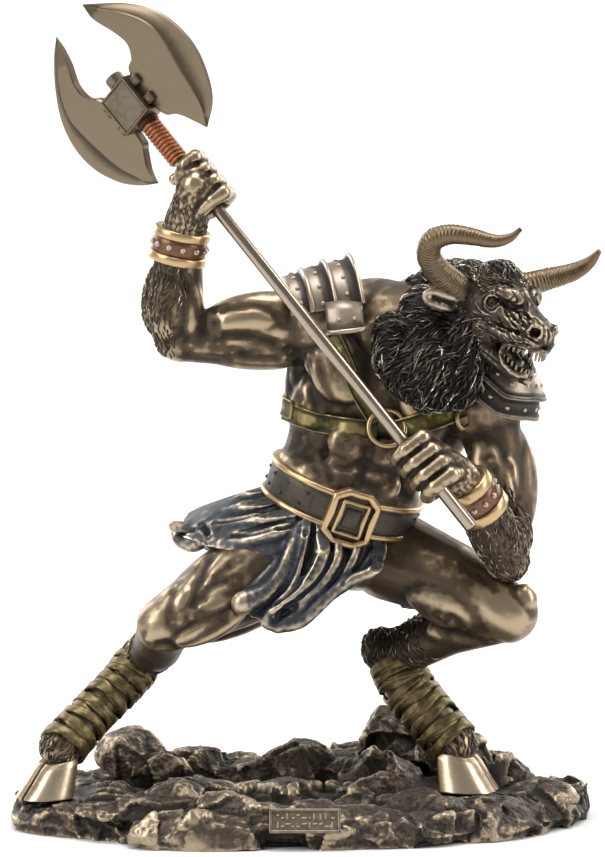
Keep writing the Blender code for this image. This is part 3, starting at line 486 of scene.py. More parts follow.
def relaxed(points, edges, degree, rounds):
    """Points drawn half-way to their neighbours' average, some rounds over."""
    for _ in range(rounds):
        points = 0.5 * points + 0.5 * neighbour_mean(points, edges, degree)
    return points


def edges_of(obj):
    """The edges as an array, and how many meet at each vertex."""
    edges = rows_of(obj.data.edges, "vertices", 2, np.int64)
    degree = np.maximum(np.bincount(edges.ravel(), minlength=len(obj.data.vertices)), 1)
    return edges, degree[:, None]


def skin_tree(obj):
    """A tree of the object's faces, to drop things on."""
    mesh = mesh_of(obj)
    tree = BVHTree.FromBMesh(mesh)
    mesh.free()
    return tree


def dropped(tree, path):
    """A path of pixels or of points, laid on the skin."""
    found = []
    for spot in path:
        if len(spot) == 2:
            hit = tree.ray_cast(EYE, sight(*spot))[0]
            if hit is not None:
                found.append(hit)
        else:
            found.append(tree.find_nearest(Vector(spot))[0])
    return found


def gap_to(points, path):
    """Each point's distance to a path."""
    best = np.full(len(points), 1e9)
    for a, b in zip(path, path[1:]):
        a, b = np.array(a), np.array(b)
        run = b - a
        along = np.clip(((points - a) @ run) / max(run @ run, 1e-12), 0, 1)
        best = np.minimum(best, np.linalg.norm(points - a - along[:, None] * run, axis=1))
    return best


def carve(obj, strokes, broad=1.75, deep=0.80):
    """Presses strokes of (path, width, depth in millimetres) into the skin. A negative depth raises it."""
    tree = skin_tree(obj)
    points, normals = points_of(obj), normals_of(obj)
    shift = np.zeros(len(points))
    for path, width, depth in strokes:
        laid = dropped(tree, path)
        if len(laid) < 2:
            continue
        laid = smooth_path(laid, 4 * len(laid))
        width *= broad
        reach = 2.4 * width * MM
        low = np.min(laid, axis=0) - reach
        high = np.max(laid, axis=0) + reach
        near = np.all((points > low) & (points < high), axis=1).nonzero()[0]
        gap = gap_to(points[near], laid) / (width * MM)
        ends = np.minimum(1.0, gap_to(points[near], laid[:1] * 2) / (2 * width * MM) + 0.15)
        ends *= np.minimum(1.0, gap_to(points[near], laid[-1:] * 2) / (2 * width * MM) + 0.15)
        shift[near] -= depth * deep * MM * np.exp(-gap * gap) * ends
    set_points(obj, points + normals * shift[:, None])


def roughen(obj, grain, depth):
    """Moves the skin in and out by noise of a grain and depth in millimetres."""
    points, normals = points_of(obj), normals_of(obj)
    scale = 1 / (grain * MM)
    amount = np.array([noise.noise(Vector(p) * scale) for p in points]) * depth * MM
    set_points(obj, points + normals * amount[:, None])


# %% [markdown]
# ## Wear and painted light
# How bright a point is follows from how far it stands out from a smoothed copy of its own surface. The
# number is kept on each vertex, where every finish reads it. On the body, the legs and the head, spots of
# painted highlight and painted shade are added to the same number.

# %% Wear
def wear_and_light_of(obj):
    """How worn each vertex is, with any spots of painted highlight and shade added to it, as an array."""
    return rows_of(obj.data.attributes["wear_and_painted_light"].data, "value", 1).ravel()


def set_wear_and_light(obj, wear_and_painted_light):
    """Writes how worn each vertex is, with any spots of painted highlight and shade, kept from 0 to 1."""
    layers = obj.data.attributes
    layer = layers["wear_and_painted_light"] if "wear_and_painted_light" in layers else layers.new("wear_and_painted_light", "FLOAT", "POINT")
    layer.data.foreach_set("value", np.clip(wear_and_painted_light, 0, 1))


def weather(obj, size=1.0):
    """Wears each point by its shape: 1 on ridges that hands rub, 0 in recesses that keep the dark."""
    points, normals = points_of(obj), normals_of(obj)
    edges, degree = edges_of(obj)
    moved = points
    wear_and_painted_light = np.full(len(points), 0.34)
    done = 0
    for rounds, tall, weight in ((4, 0.05, 0.16), (16, 0.22, 0.22), (70, 0.85, 0.30)):
        moved = relaxed(moved, edges, degree, rounds - done)
        done = rounds
        height = np.einsum("ij,ij->i", points - moved, normals)
        wear_and_painted_light += weight * np.clip(height / (tall * size * MM), -1.2, 1.2)
    set_wear_and_light(obj, wear_and_painted_light)


def dim(obj, share, least=0.0):
    """Wears a piece less than its shape asks for: its wear times a share, and a least amount."""
    outward(obj)
    if "wear_and_painted_light" not in obj.data.attributes:
        weather(obj)
    set_wear_and_light(obj, wear_and_light_of(obj) * share + least)


def paint_highlights_and_shade(obj, spots):
    """Paints highlights, and painted shade where the amount is negative, onto places of a worn object: (pixel
    or point, reach in millimetres, amount).
    """
    tree = skin_tree(obj)
    points, wear_and_painted_light = points_of(obj), wear_and_light_of(obj)
    for spot, reach, amount in spots:
        for centre in dropped(tree, [spot]):
            gap = np.linalg.norm(points - np.array(centre), axis=1) / (reach * MM)
            wear_and_painted_light += amount * np.exp(-gap * gap)
    set_wear_and_light(obj, wear_and_painted_light)


# %% [markdown]
# ## Writing finishes as sums
# A finish is mostly arithmetic on a few patterns. The small class here wraps a socket, so that an
# expression such as `1 - mask * 0.5` adds the Math nodes it needs. All other nodes come from one method.

# %% Shader arithmetic
class Amount:
    """A socket that can be added, multiplied and so on."""

    def __init__(self, finish, socket):
        self.finish, self.socket = finish, socket

    def math(self, operation, *values, clamp=False):
        settings = {"operation": operation, "use_clamp": clamp}
        return self.finish.node("ShaderNodeMath", settings, dict(enumerate(values)))

    def __add__(self, other):
        return self.math("ADD", self, other)

    def __sub__(self, other):
        return self.math("SUBTRACT", self, other)

    def __rsub__(self, other):
        return self.math("SUBTRACT", other, self)

    def __mul__(self, other):
        return self.math("MULTIPLY", self, other)

    def clamped(self):
        return self.math("ADD", self, 0.0, clamp=True)

    def step(self, low, high):
        """0 under low, 1 over high, smooth between."""
        settings = {"interpolation_type": "SMOOTHSTEP"}
        sockets = {"Value": self, "From Min": low, "From Max": high, "To Min": 0.0, "To Max": 1.0}
        return self.finish.node("ShaderNodeMapRange", settings, sockets)

    __radd__ = __add__
    __rmul__ = __mul__


class Finish:
    """A material, its shader, and the patterns that feed it."""

    def __init__(self, name):
        self.material = bpy.data.materials.new(name)
        self.material.use_nodes = True
        self.tree = self.material.node_tree
        self.shader = self.tree.nodes["Principled BSDF"]
        self.place = self.node("ShaderNodeTexCoord", {}, {}, "Object")

    def node(self, kind, settings, sockets, output=0):
        """Adds a node with its settings and inputs and returns an output."""
        made = self.tree.nodes.new(kind)
        for key, value in settings.items():
            setattr(made, key, value)
        for key, value in sockets.items():
            if isinstance(value, Amount):
                self.tree.links.new(value.socket, made.inputs[key])
            else:
                made.inputs[key].default_value = value
        return Amount(self, made.outputs[output])

    def noise(self, scale, detail=3.0):
        sockets = {"Vector": self.place, "Scale": scale, "Detail": detail}
        return self.node("ShaderNodeTexNoise", {}, sockets)

    def attribute(self, name):
        return self.node("ShaderNodeAttribute", {"attribute_name": name}, {}, "Fac")

    def mix(self, share, first, second):
        """A colour between two, by share."""
        sockets = {0: share}
        for key, colour in ((6, first), (7, second)):
            sockets[key] = colour if isinstance(colour, Amount) else (*colour, 1.0)
        return self.node("ShaderNodeMix", {"data_type": "RGBA"}, sockets, 2)

    def feed(self, **inputs):
        """Links the shader's sockets, or sets them to a number. Names use _ for a space."""
        for key, value in inputs.items():
            socket = self.shader.inputs[key.replace("_", " ")]
            if isinstance(value, Amount):
                self.tree.links.new(value.socket, socket)
            else:
                socket.default_value = value

    def bump(self, height, strength, distance):
        """Relief from a height."""
        sockets = {"Strength": strength, "Distance": distance * MM, "Height": height}
        self.feed(Normal=self.node("ShaderNodeBump", {}, sockets))


# %% [markdown]
# ## Cast bronze
# The whole statue is one kind of surface in many tints: a metal-filled resin, painted nearly black, wiped,
# and rubbed bright on what stands up. So every finish here starts from the same recipe: a dark colour for
# recesses, a middle one, a bright one for ridges, chosen by the wear attribute and broken up by noise. On
# the body, the legs and the head that attribute also carries spots of painted highlight and painted shade.

# %% The shared recipe and the finishes
def cast_finish(
    name, dark, middle, bright, shine=0.34, metal=0.9, low=0.30, high=0.78, fleck=0.22, pits=0.10, gloss=0.4
):
    """A painted and worn casting. The wear, with any painted highlights and shade, shows from low to high,
    and fleck breaks it up.
    """
    finish = Finish(name)
    wear_and_painted_light = finish.attribute("wear_and_painted_light")
    mottle = finish.noise(480.0, 6.0)
    broad = finish.noise(60.0, 3.0)
    # The level is the wear plus the spots of painted highlight and painted shade that some pieces carry,
    # broken up by noise.
    level = (wear_and_painted_light + (mottle - 0.5) * fleck + (broad - 0.5) * 0.16).clamped()
    body = finish.mix(level.step(low - 0.22, (low + high) / 2), dark, middle)
    colour = finish.mix(level.step((low + high) / 2, high + 0.16), body, bright)
    finish.feed(
        Base_Color=colour,
        Roughness=(shine + 0.22) - level * 0.24 + (mottle - 0.5) * 0.12,
        Metallic=metal * (0.62 + level.step(0.2, 0.7) * 0.38),
        Specular_IOR_Level=gloss,
    )
    finish.bump(finish.noise(900.0, 3.0) * 0.6 + mottle * 0.4, 0.35, pits)
    return finish


skin_finish = cast_finish(
    "dark_flesh_bronze", (0.026, 0.019, 0.013), (0.088, 0.063, 0.040), (0.40, 0.31, 0.205),
    0.34, 0.9, 0.24, 0.80, 0.30,
)
hair_finish = cast_finish(
    "black_hair_bronze", (0.011, 0.009, 0.008), (0.062, 0.052, 0.043), (0.60, 0.52, 0.42),
    0.32, 0.9, 0.32, 0.90,
)
fur_finish = cast_finish(
    "brown_fur_bronze", (0.014, 0.011, 0.008), (0.095, 0.074, 0.053), (0.60, 0.50, 0.38),
    0.34, 0.9, 0.30, 0.88,
)
face_finish = cast_finish(
    "face_bronze", (0.014, 0.011, 0.008), (0.060, 0.046, 0.034), (0.44, 0.36, 0.27),
    0.36, 0.9, 0.28, 0.86, 0.26,
)
horn_finish = cast_finish(
    "horn_bronze", (0.016, 0.011, 0.007), (0.046, 0.031, 0.019), (0.22, 0.158, 0.096),
    0.42, 0.9, 0.44, 1.0,
)
armour_finish = cast_finish(
    "dark_pewter", (0.020, 0.016, 0.013), (0.062, 0.050, 0.041), (0.30, 0.25, 0.20),
    0.44, 0.85, 0.28, 0.92, 0.34,
)
rim_finish = cast_finish("pale_rim", (0.030, 0.023, 0.017), (0.13, 0.102, 0.075), (0.42, 0.35, 0.27), 0.36)
strap_finish = cast_finish(
    "olive_leather", (0.018, 0.016, 0.006), (0.078, 0.066, 0.018), (0.28, 0.23, 0.10),
    0.38, 0.88,
)
gold_finish = cast_finish(
    "old_gold", (0.034, 0.019, 0.009), (0.165, 0.098, 0.042), (0.50, 0.355, 0.19),
    0.36,
)
belt_finish = cast_finish(
    "black_leather", (0.006, 0.005, 0.005), (0.012, 0.010, 0.009), (0.10, 0.086, 0.072),
    0.50, 0.7, 0.45, 0.98, 0.30, 0.20, 0.10,
)
cuff_finish = cast_finish(
    "brown_leather", (0.009, 0.005, 0.004), (0.030, 0.014, 0.010), (0.16, 0.085, 0.055),
    0.42, 0.85,
)
cloth_finish = cast_finish(
    "slate_cloth", (0.014, 0.016, 0.021), (0.060, 0.062, 0.070), (0.50, 0.41, 0.30),
    0.36, 0.88, 0.26, 0.80, 0.14,
)
wrap_finish = cast_finish(
    "olive_wrap", (0.012, 0.009, 0.005), (0.044, 0.035, 0.014), (0.40, 0.31, 0.155),
    0.42, 0.8, 0.38, 0.98, 0.35, 0.15, 0.2,
)
hoof_finish = cast_finish(
    "hoof_bronze", (0.035, 0.025, 0.016), (0.25, 0.19, 0.12), (0.60, 0.49, 0.35),
    0.30,
)
rock_finish = cast_finish(
    "rock_bronze", (0.019, 0.015, 0.011), (0.085, 0.065, 0.048), (0.44, 0.355, 0.25),
    0.40, 0.85, 0.22, 0.96, 0.34, 0.22,
)
copper_finish = cast_finish(
    "copper_cord", (0.018, 0.006, 0.003), (0.105, 0.030, 0.012), (0.30, 0.115, 0.052),
    0.42, 0.85,
)
blade_finish = cast_finish(
    "olive_steel", (0.026, 0.020, 0.013), (0.062, 0.048, 0.031), (0.20, 0.158, 0.107),
    0.34, 0.95, 0.3, 0.9, 0.12, 0.02,
)
socket_finish = cast_finish(
    "socket_bronze", (0.030, 0.024, 0.017), (0.095, 0.077, 0.053), (0.30, 0.245, 0.175),
    0.42, 0.9, 0.40, 0.98,
)
shaft_finish = cast_finish(
    "satin_rod", (0.06, 0.047, 0.036), (0.19, 0.150, 0.113), (0.36, 0.30, 0.235),
    0.26, 0.98, 0.3, 0.8, 0.08, 0.01,
)
tooth_finish = cast_finish(
    "worn_tooth", (0.03, 0.024, 0.018), (0.13, 0.105, 0.080), (0.46, 0.39, 0.30),
    0.34,
)


SMALL_PIECE = 20000


def finished(obj, finish, slot, smooth=True):
    """The last steps on every piece: its wear, its finish, its slot and its place on the body."""
    if len(obj.data.polygons) < SMALL_PIECE:
        outward(obj)
    if "wear_and_painted_light" not in obj.data.attributes:
        weather(obj)
    obj.data.materials.clear()
    obj.data.materials.append(finish.material)
    if smooth:
        obj.data.shade_smooth()
    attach(obj, "root")
    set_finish(obj, slot)
    print("made", obj.name, len(obj.data.polygons), "faces")
    return obj

# %% [markdown]
# ## The upper body
# Chest, belly, back, arms and fists are one piece of clay. The big masses are laid in first, as in the
# solid, then the skin is carved where the picture shows a crease: between the blocks of the belly, under
# the chest muscle, along the upper arm. The back can't be seen, so it gets the plain anatomy of such a
# back.

# %% Torso, arms and fists
def torso(clay):
    """Pelvis, belly, ribcage, back and the muscles that show on them."""
    lean = CHEST - WAIST
    clay.ball(PELVIS, (23, 19, 18), BELT_AXIS)
    clay.ball(at(17.5, 3, 121), (23.5, 18.5, 20), lean)
    clay.ball(CHEST, (30, 21, 30), lean)
    clay.ball(at(31, 10, 178), (24, 19, 17), lean)
    clay.muscle(at(0, 8, 137), at(4, 7, 180), 8.5)
    clay.muscle(at(44, 12, 124), at(58, 6, 158), 10)
    clay.muscle(at(4, 14, 126), at(22, 24, 184), 13, 9)
    clay.muscle(at(40, 20, 122), at(44, 22, 176), 13, 9)
    clay.muscle(at(19, -14, 153), at(4, -5, 178), 10.5, 6)
    clay.muscle(at(34, -17, 153), at(58, -8, 156), 12, 7)
    clay.ball(BELT_CENTRE, (BELT_REACH / MM + 0.6, BELT_DEPTH / MM + 0.4, 18), BELT_AXIS, BELT_SIDE)
    clay.ball(BELT_CENTRE + BELT_AXIS * 5 * MM, (BELT_REACH / MM + 0.4, BELT_DEPTH / MM, 14), BELT_AXIS,
        BELT_SIDE)
    clay.limb((at(4.5, 2, 127), 13), (at(7.4, 2, 140), 12.2), (at(7.0, 2, 152), 12))
    for x, y, z, width in ((17.5, -14.6, 137, 9.5), (14.8, -15.4, 128, 8.5), (31, -14.4, 133, 8.8),
            (27.4, -15.4, 124, 8.2)):
        clay.ball(at(x, y, z), (width, 4.2, 7.0), lean)
    clay.muscle(at(-2, -3, 118), at(5, -6, 140), 7.5, 6)
    clay.muscle(at(33, -4, 112), at(39, -6, 131), 6.5, 6)
    for k in range(5):
        clay.muscle(at(3 + 2.0 * k, -10.0, 135 + 6 * k), at(-2.5 + 1.0 * k, 1, 145 + 6 * k), 2.3)
    clay.muscle(at(14, 20, 186), at(4, 8, 181), 9)
    clay.muscle(at(40, 16, 184), LEFT_SHOULDER, 11)
    clay.limb((at(33, 5, 175), 20), (at(47, -2, 180), 15))


def arms(clay):
    """Both arms from shoulder to wrist, with the strands of each muscle."""
    clay.ball(RIGHT_SHOULDER, (15, 14, 15))
    clay.limb((RIGHT_SHOULDER, 12.5), (at(-22, -1, 175.5), 11.0), (at(-40, -2, 175), 9.0))
    clay.muscle(at(2, -4, 186), at(-39, -6, 178), 9.4, 9)
    clay.muscle(at(6, 0, 170), at(-40, -1, 172), 8.0, 10)
    clay.muscle(at(-4, -8, 179), at(-36, -8, 174.5), 5.4, 5)
    clay.limb((RIGHT_ELBOW, 9.0), (at(-45.5, -3, 186), 10.2), (at(-44.3, -6, 199), 8.8), (RIGHT_WRIST, 8.0))
    clay.muscle(at(-48, -8, 173), at(-46, -8, 203), 7.8)
    clay.muscle(at(-40, -8, 174), at(-41, -9, 200), 5.5)
    clay.muscle(at(-52, 0, 175), at(-49, -2, 203), 7.0)
    clay.ball(LEFT_SHOULDER, (14, 14, 15))
    clay.limb((LEFT_SHOULDER, 12), (at(71, -9, 128), 9.6), (at(73.5, -14, 104), 8.5))
    clay.muscle(at(64, -12, 143), at(68, -20, 108), 7.8)
    clay.muscle(at(76, -4, 143), at(77, -12, 103), 8.0)
    clay.muscle(at(72, -14, 138), at(73, -19, 112), 5.0)
    clay.limb((LEFT_ELBOW, 8.0), (at(69, -23, 106), 9.2), (at(62, -31, 118), 7.6), (LEFT_WRIST, 6.6))
    clay.muscle(at(74, -22, 97), at(61, -35, 119), 5.6)
    clay.ball(at(74, -16, 93), (5, 5, 4.5))


clay = Clay()
torso(clay)
arms(clay)
upper = clay.fused("upper_body", 0.62, 22)
print("upper body fused", len(upper.data.vertices))

BELLY = (
    ([(366, 438), (365, 452), (362, 468), (356, 486)], 1.2, 1.1),
    ([(328, 440), (325, 455), (328, 470), (336, 486)], 1.1, 0.9),
    ([(328, 464), (345, 467), (364, 463)], 1.0, 0.9),
    ([(364, 466), (380, 470), (394, 466)], 1.0, 0.9),
    ([(303, 438), (309, 455), (317, 472), (326, 486)], 1.5, 1.3),
    ([(392, 444), (397, 458), (394, 472), (384, 488)], 1.4, 1.4),
    ([(330, 486), (348, 489), (366, 484), (388, 486)], 1.3, 1.0),
    ([(340, 445), (346, 450), (352, 446)], 2.4, -1.0),
    ([(338, 474), (344, 476)], 2.6, -0.9),
    ([(374, 456), (382, 458)], 2.6, -0.8),
    ([(290, 440), (298, 455), (302, 470)], 1.6, 0.9),
    ([(402, 452), (408, 468), (404, 486)], 1.6, 0.9),
)
RIBS = (
    ([(291, 352), (287, 372), (291, 400)], 1.2, 1.3),
    ([(299, 355), (296, 378), (302, 404)], 1.2, 1.3),
    ([(307, 355), (307, 372), (313, 396), (322, 414)], 1.4, 1.6),
    ([(316, 352), (322, 375), (334, 400), (352, 416)], 1.2, 0.8),
    ([(310, 420), (330, 424), (352, 420)], 1.5, 0.9),
    ([(322, 372), (332, 392), (342, 405)], 3.6, -1.1),
)
RIGHT_ARM = (
    ([(217, 308), (240, 306), (262, 308), (284, 320)], 1.3, 1.3),
    ([(218, 344), (229, 335), (258, 338), (284, 346)], 1.3, 1.4),
    ([(232, 353), (258, 359), (286, 358)], 1.2, 1.1),
    ([(217, 312), (215, 322), (219, 336)], 1.3, 1.5),
    ([(228, 318), (250, 318), (272, 326)], 3.2, -0.9),
    ([(205, 290), (209, 312), (204, 334), (190, 345)], 1.5, 0.9),
    ([(180, 262), (186, 285), (196, 305), (200, 325)], 1.1, 0.7),
    ([(180, 352), (200, 358), (226, 362)], 1.2, 0.6),
    ([(160, 300), (170, 320), (182, 338)], 1.4, 0.5),
)
LEFT_ARM = (
    ([(468, 452), (470, 470), (480, 488)], 1.3, 1.1),
    ([(490, 460), (499, 482), (512, 508), (518, 534)], 1.3, 1.2),
    ([(508, 458), (515, 482), (523, 508)], 1.2, 0.9),
    ([(470, 545), (490, 535), (507, 520)], 1.2, 0.8),
)
BACK = (
    ([at(24, 40, 196), at(22, 40, 176), at(19, 38, 156), at(16, 36, 134)], 2.0, 2.4),
    ([at(4, 36, 190), at(8, 38, 172), at(2, 34, 158)], 1.8, 1.4),
    ([at(48, 38, 186), at(42, 38, 170), at(50, 34, 156)], 1.8, 1.4),
    ([at(-4, 30, 160), at(6, 34, 146), at(10, 34, 128)], 1.8, 1.3),
    ([at(58, 30, 156), at(44, 34, 142), at(34, 34, 124)], 1.8, 1.3),
    ([at(10, 36, 178), at(12, 36, 164)], 4.0, -1.0),
    ([at(36, 38, 176), at(34, 38, 160)], 4.0, -1.0),
)
carve(upper, BELLY + RIBS + RIGHT_ARM + LEFT_ARM + BACK)
roughen(upper, 5.0, 0.10)
thin_to(upper, 140000)
weather(upper, 1.15)
# Spots of painted highlight (positive amounts) and painted shade (negative amounts) on the arms, the chest
# and the belly.
paint_highlights_and_shade(upper, [
    ((262, 318), 5, 0.30), ((275, 330), 4, 0.25), ((232, 326), 4, 0.12), ((340, 400), 6, 0.06),
    ((322, 370), 5, -0.06), ((352, 448), 3, 0.16), ((336, 470), 2.5, 0.14), ((505, 490), 5, 0.22),
    ((470, 445), 5, 0.10), ((195, 330), 5, 0.10), ((335, 455), 9, -0.18), ((372, 455), 8, -0.18),
    ((350, 490), 7, -0.14), ((300, 440), 6, -0.10), ((330, 425), 7, -0.10), ((350, 265), 7, 0.12),
    ((375, 275), 6, 0.10), ((292, 380), 7, -0.16), ((300, 440), 7, -0.10), ((395, 470), 7, -0.12),
    ((412, 440), 7, -0.12), ((440, 440), 8, -0.14), ((162, 285), 8, -0.22), ((165, 310), 8, -0.14),
    ((490, 540), 10, -0.20), ((505, 560), 9, -0.20), ((480, 520), 8, -0.16), ((325, 395), 5, -0.06),
    (at(20, -10, 128), 6, -0.04),
])

# %% [markdown]
# ## The hands
# Both hands close round the shaft. The upper one shows its back, so its fingers start at a row of knuckles
# on the right and curl away behind the shaft. The lower one shows its fingers. A finger is a chain of
# swellings.

# %% Hands
def hand(name, grip, wrist, knuckles, wrist_radius, turn_sign, thumb_behind):
    """A hand closed on the shaft, with its wrist."""
    clay = Clay()
    finger = 2.6
    reach = (finger + 2.7) * MM
    out = (knuckles - knuckles.dot(AXE_AXIS) * AXE_AXIS).normalized()
    across = AXE_AXIS.cross(out) * turn_sign
    palm = grip + (out * 0.1 - across * 1.0) * 6.0 * MM
    seams = []
    for k in range(4):
        middle = grip + AXE_AXIS * (8.2 - 5.5 * k) * MM
        stops = []
        for degrees, lift, thick in (
            (-66, 1.42, 0.95), (-34, 1.50, 1.16), (-4, 1.30, 0.92), (26, 1.20, 1.08), (60, 1.08, 0.92),
            (100, 1.0, 1.04), (145, 1.0, 0.88), (200, 1.0, 0.9),
        ):
            turn = math.radians(degrees)
            offset = (out * math.cos(turn) + across * math.sin(turn)) * reach * lift
            stops.append((middle + offset, finger * thick))
        clay.limb(*stops)
        back = wrist.lerp(palm, 0.62) - across * 2.6 * MM + AXE_AXIS * (1.5 - k) * 2.0 * MM
        clay.limb((stops[0][0], 2.5), (back, 2.9))
        if k < 3:
            turns = [math.radians(d) for d in (-62, -35, -5, 20, 55, 90, 125, 160)]
            seam = middle - AXE_AXIS * 2.75 * MM
            path = [seam + (out * math.cos(t) + across * math.sin(t)) * 7.8 * MM for t in turns]
            seams.append((path, 0.55, 0.8))
            seams.append(([path[0], back.lerp(path[0], 0.3)], 0.8, 0.5))
    clay.ball(palm, (4.4, 6.4, 10.0), AXE_AXIS, across)
    clay.limb((palm, 5.8), (palm.lerp(wrist, 0.55), 7.4), (wrist, wrist_radius))
    if thumb_behind:
        clay.limb((palm, 5.4), (grip - out * 5.6 * MM, 4.6), (palm.lerp(wrist, 0.5) - out * 1.5 * MM, 6.0))
        clay.limb((palm.lerp(wrist, 0.3), 4.2), (grip - out * 7.0 * MM - across * 2 * MM, 3.7),
                  (grip - out * 5.6 * MM + across * 3 * MM + AXE_AXIS * 3 * MM, 3.0),
                  (grip - out * 2.4 * MM + across * 5.4 * MM + AXE_AXIS * 4 * MM, 2.6))
    else:
        thumb = grip - across * 5.0 * MM - out * 4.5 * MM
        clay.limb((palm, 4.4), (thumb + AXE_AXIS * 3 * MM, 3.4),
            (thumb + AXE_AXIS * 8 * MM + across * 6 * MM, 2.8))
    made = clay.fused(name, 0.42, 6)
    carve(made, seams, 1.2, 0.9)
    roughen(made, 1.4, 0.10)
    thin_to(made, 32000)
    weather(made, 0.7)
    return made


right_hand = hand("right_hand", RIGHT_GRIP, at(-43.8, -6.6, 207), Vector((0.775, -0.25, 0.632)), 8.2, 1, True)
left_hand = hand("left_hand", LEFT_GRIP, LEFT_WRIST, Vector((0, -1, 0)) + BLADE_SIDE * 0.5, 6.8, -1, False)
print("hands", len(right_hand.data.polygons), len(left_hand.data.polygons))

# %% [markdown]
# ## The legs
# Bull's legs on a man's hips: the trailing thigh shows every strand, the leading one is smooth and drawn up
# to a knee with a painted highlight. Both end in a cannon bone bound with strips, and a cloven hoof.

# %% Legs
def legs(clay):
    """Both legs, bent like a bull's: knee forward, hock back, then the cannon down to the hoof."""
    clay.ball(PELVIS, (22, 18, 14), BELT_AXIS)
    clay.limb((RIGHT_HIP, 18.5), (at(-24, -14, 87), 15.5), (RIGHT_KNEE, 10.2))
    clay.muscle(at(-6, -6, 106), at(-50, -22, 77), 10.0, 10)
    clay.muscle(at(-4, -14, 92), at(-46, -27, 72), 9.0, 9)
    clay.muscle(at(4, 2, 90), at(-42, -10, 68), 9.5, 10)
    clay.muscle(at(-16, -24, 88), at(-50, -32, 74), 5.2, 4.5)
    clay.muscle(at(-20, -28, 80), at(-46, -33, 68), 4.8, 4.0)
    clay.ball(at(-51, -29, 72), (5.6, 5.0, 5.4))
    clay.limb((RIGHT_KNEE, 10), (at(-52, -8, 64), 8.8), (RIGHT_HOCK, 7.6))
    clay.muscle(at(-48, -14, 71), at(-53, 3, 58), 6.4)
    clay.limb((RIGHT_HOCK, 8.0), (at(-65.5, 1, 49), 7.0), (at(-77, -6, 38), 6.6), (RIGHT_FETLOCK, 7.4))
    clay.limb((LEFT_HIP, 16.8), (at(54, -5, 87.5), 14.0), (LEFT_KNEE, 10.6))
    clay.muscle(at(32, -3, 100), at(76, -13, 81), 9.0, 11)
    clay.muscle(at(36, -7, 87), at(70, -14, 74), 9.5, 10)
    clay.ball(LEFT_KNEE, (9.8, 10, 11))
    clay.ball(at(79, -18, 82), (5.0, 5.0, 6.5))
    clay.limb((LEFT_KNEE, 10.2), (at(54, -1, 68), 8.0), (LEFT_HOCK, 9.0))
    clay.muscle(at(58, 2, 70), at(34, 10, 62), 8.4)
    clay.ball(at(52, -5, 69), (7.5, 4.5, 5.0))
    clay.ball(at(28, 12, 60), (6.5, 7, 8))
    clay.limb((LEFT_HOCK, 9.2), (at(38, 9, 47), 8.6), (at(46, 6, 37), 7.8), (LEFT_FETLOCK, 7.8))


clay = Clay()
legs(clay)
lower = clay.fused("legs", 0.62, 20)
RIGHT_THIGH = (
    ([(214, 552), (203, 570), (196, 590), (191, 618)], 1.4, 1.7),
    ([(236, 580), (222, 582), (208, 590), (199, 606)], 1.2, 1.3),
    ([(238, 560), (222, 572), (207, 582)], 1.2, 1.0),
    ([(183, 560), (176, 585), (170, 608), (172, 622)], 1.2, 0.8),
    ([(146, 640), (164, 645), (186, 646), (211, 630), (232, 612)], 1.5, 1.5),
    ([(176, 606), (182, 598), (184, 612)], 2.8, -1.0),
    ([(212, 596), (216, 608), (208, 620)], 3.0, -1.0),
    ([(228, 568), (240, 562)], 2.0, -0.8),
    ([(168, 575), (160, 600)], 3.0, -0.6),
    ([(150, 622), (160, 634)], 2.0, 0.7),
)
LEFT_THIGH = (
    ([(455, 562), (475, 573), (491, 585), (499, 602)], 1.4, 0.9),
    ([(450, 626), (460, 634), (474, 640), (492, 642)], 1.4, 1.3),
    ([(440, 618), (455, 620), (465, 632)], 1.3, 1.0),
    ([(400, 600), (430, 612), (460, 616)], 2.6, 0.7),
    ([(495, 600), (507, 616)], 3.2, -0.8),
    ([(420, 560), (450, 590), (478, 606)], 3.2, -0.5),
)
CALVES = (
    ([at(-52, 8, 66), at(-56, 10, 58), at(-62, 8, 50)], 1.6, 0.8),
    ([at(40, 16, 68), at(34, 18, 60), at(30, 18, 52)], 1.6, 0.8),
)
carve(lower, RIGHT_THIGH + LEFT_THIGH + CALVES)
roughen(lower, 5.0, 0.10)
thin_to(lower, 110000)
weather(lower)
# Spots of painted highlight (positive amounts) on the knees and thighs, and painted shade (negative amounts)
# on the hocks, the thighs and by a hoof.
paint_highlights_and_shade(lower, [
    ((495, 600), 4, 0.46), ((508, 614), 5, 0.40), ((495, 634), 6, 0.26), ((455, 606), 7, 0.22),
    ((500, 614), 10, 0.26), ((400, 590), 10, -0.04), ((178, 600), 4, 0.34), ((214, 598), 4, 0.34),
    ((165, 590), 5, 0.20), ((215, 562), 5, 0.16), ((160, 628), 5, 0.18), ((200, 640), 4, 0.16),
    ((385, 640), 12, -0.30), ((400, 650), 10, -0.20), ((372, 660), 9, -0.26), ((135, 655), 9, -0.24),
    ((150, 665), 9, -0.24), ((125, 640), 6, -0.16), ((450, 626), 4, 0.20), ((440, 570), 9, -0.06),
    ((60, 745), 7, -0.14),
])

# %% [markdown]
# ## Hooves
# Each hoof is two claws side by side that flare to the ground. A claw is a stack of rings: the lowest is
# wide and pulled forward, the upper ones are drawn in under the fetlock, and every second one is pinched a
# little for the growth rings. The second claw has the same numbers on its other side.

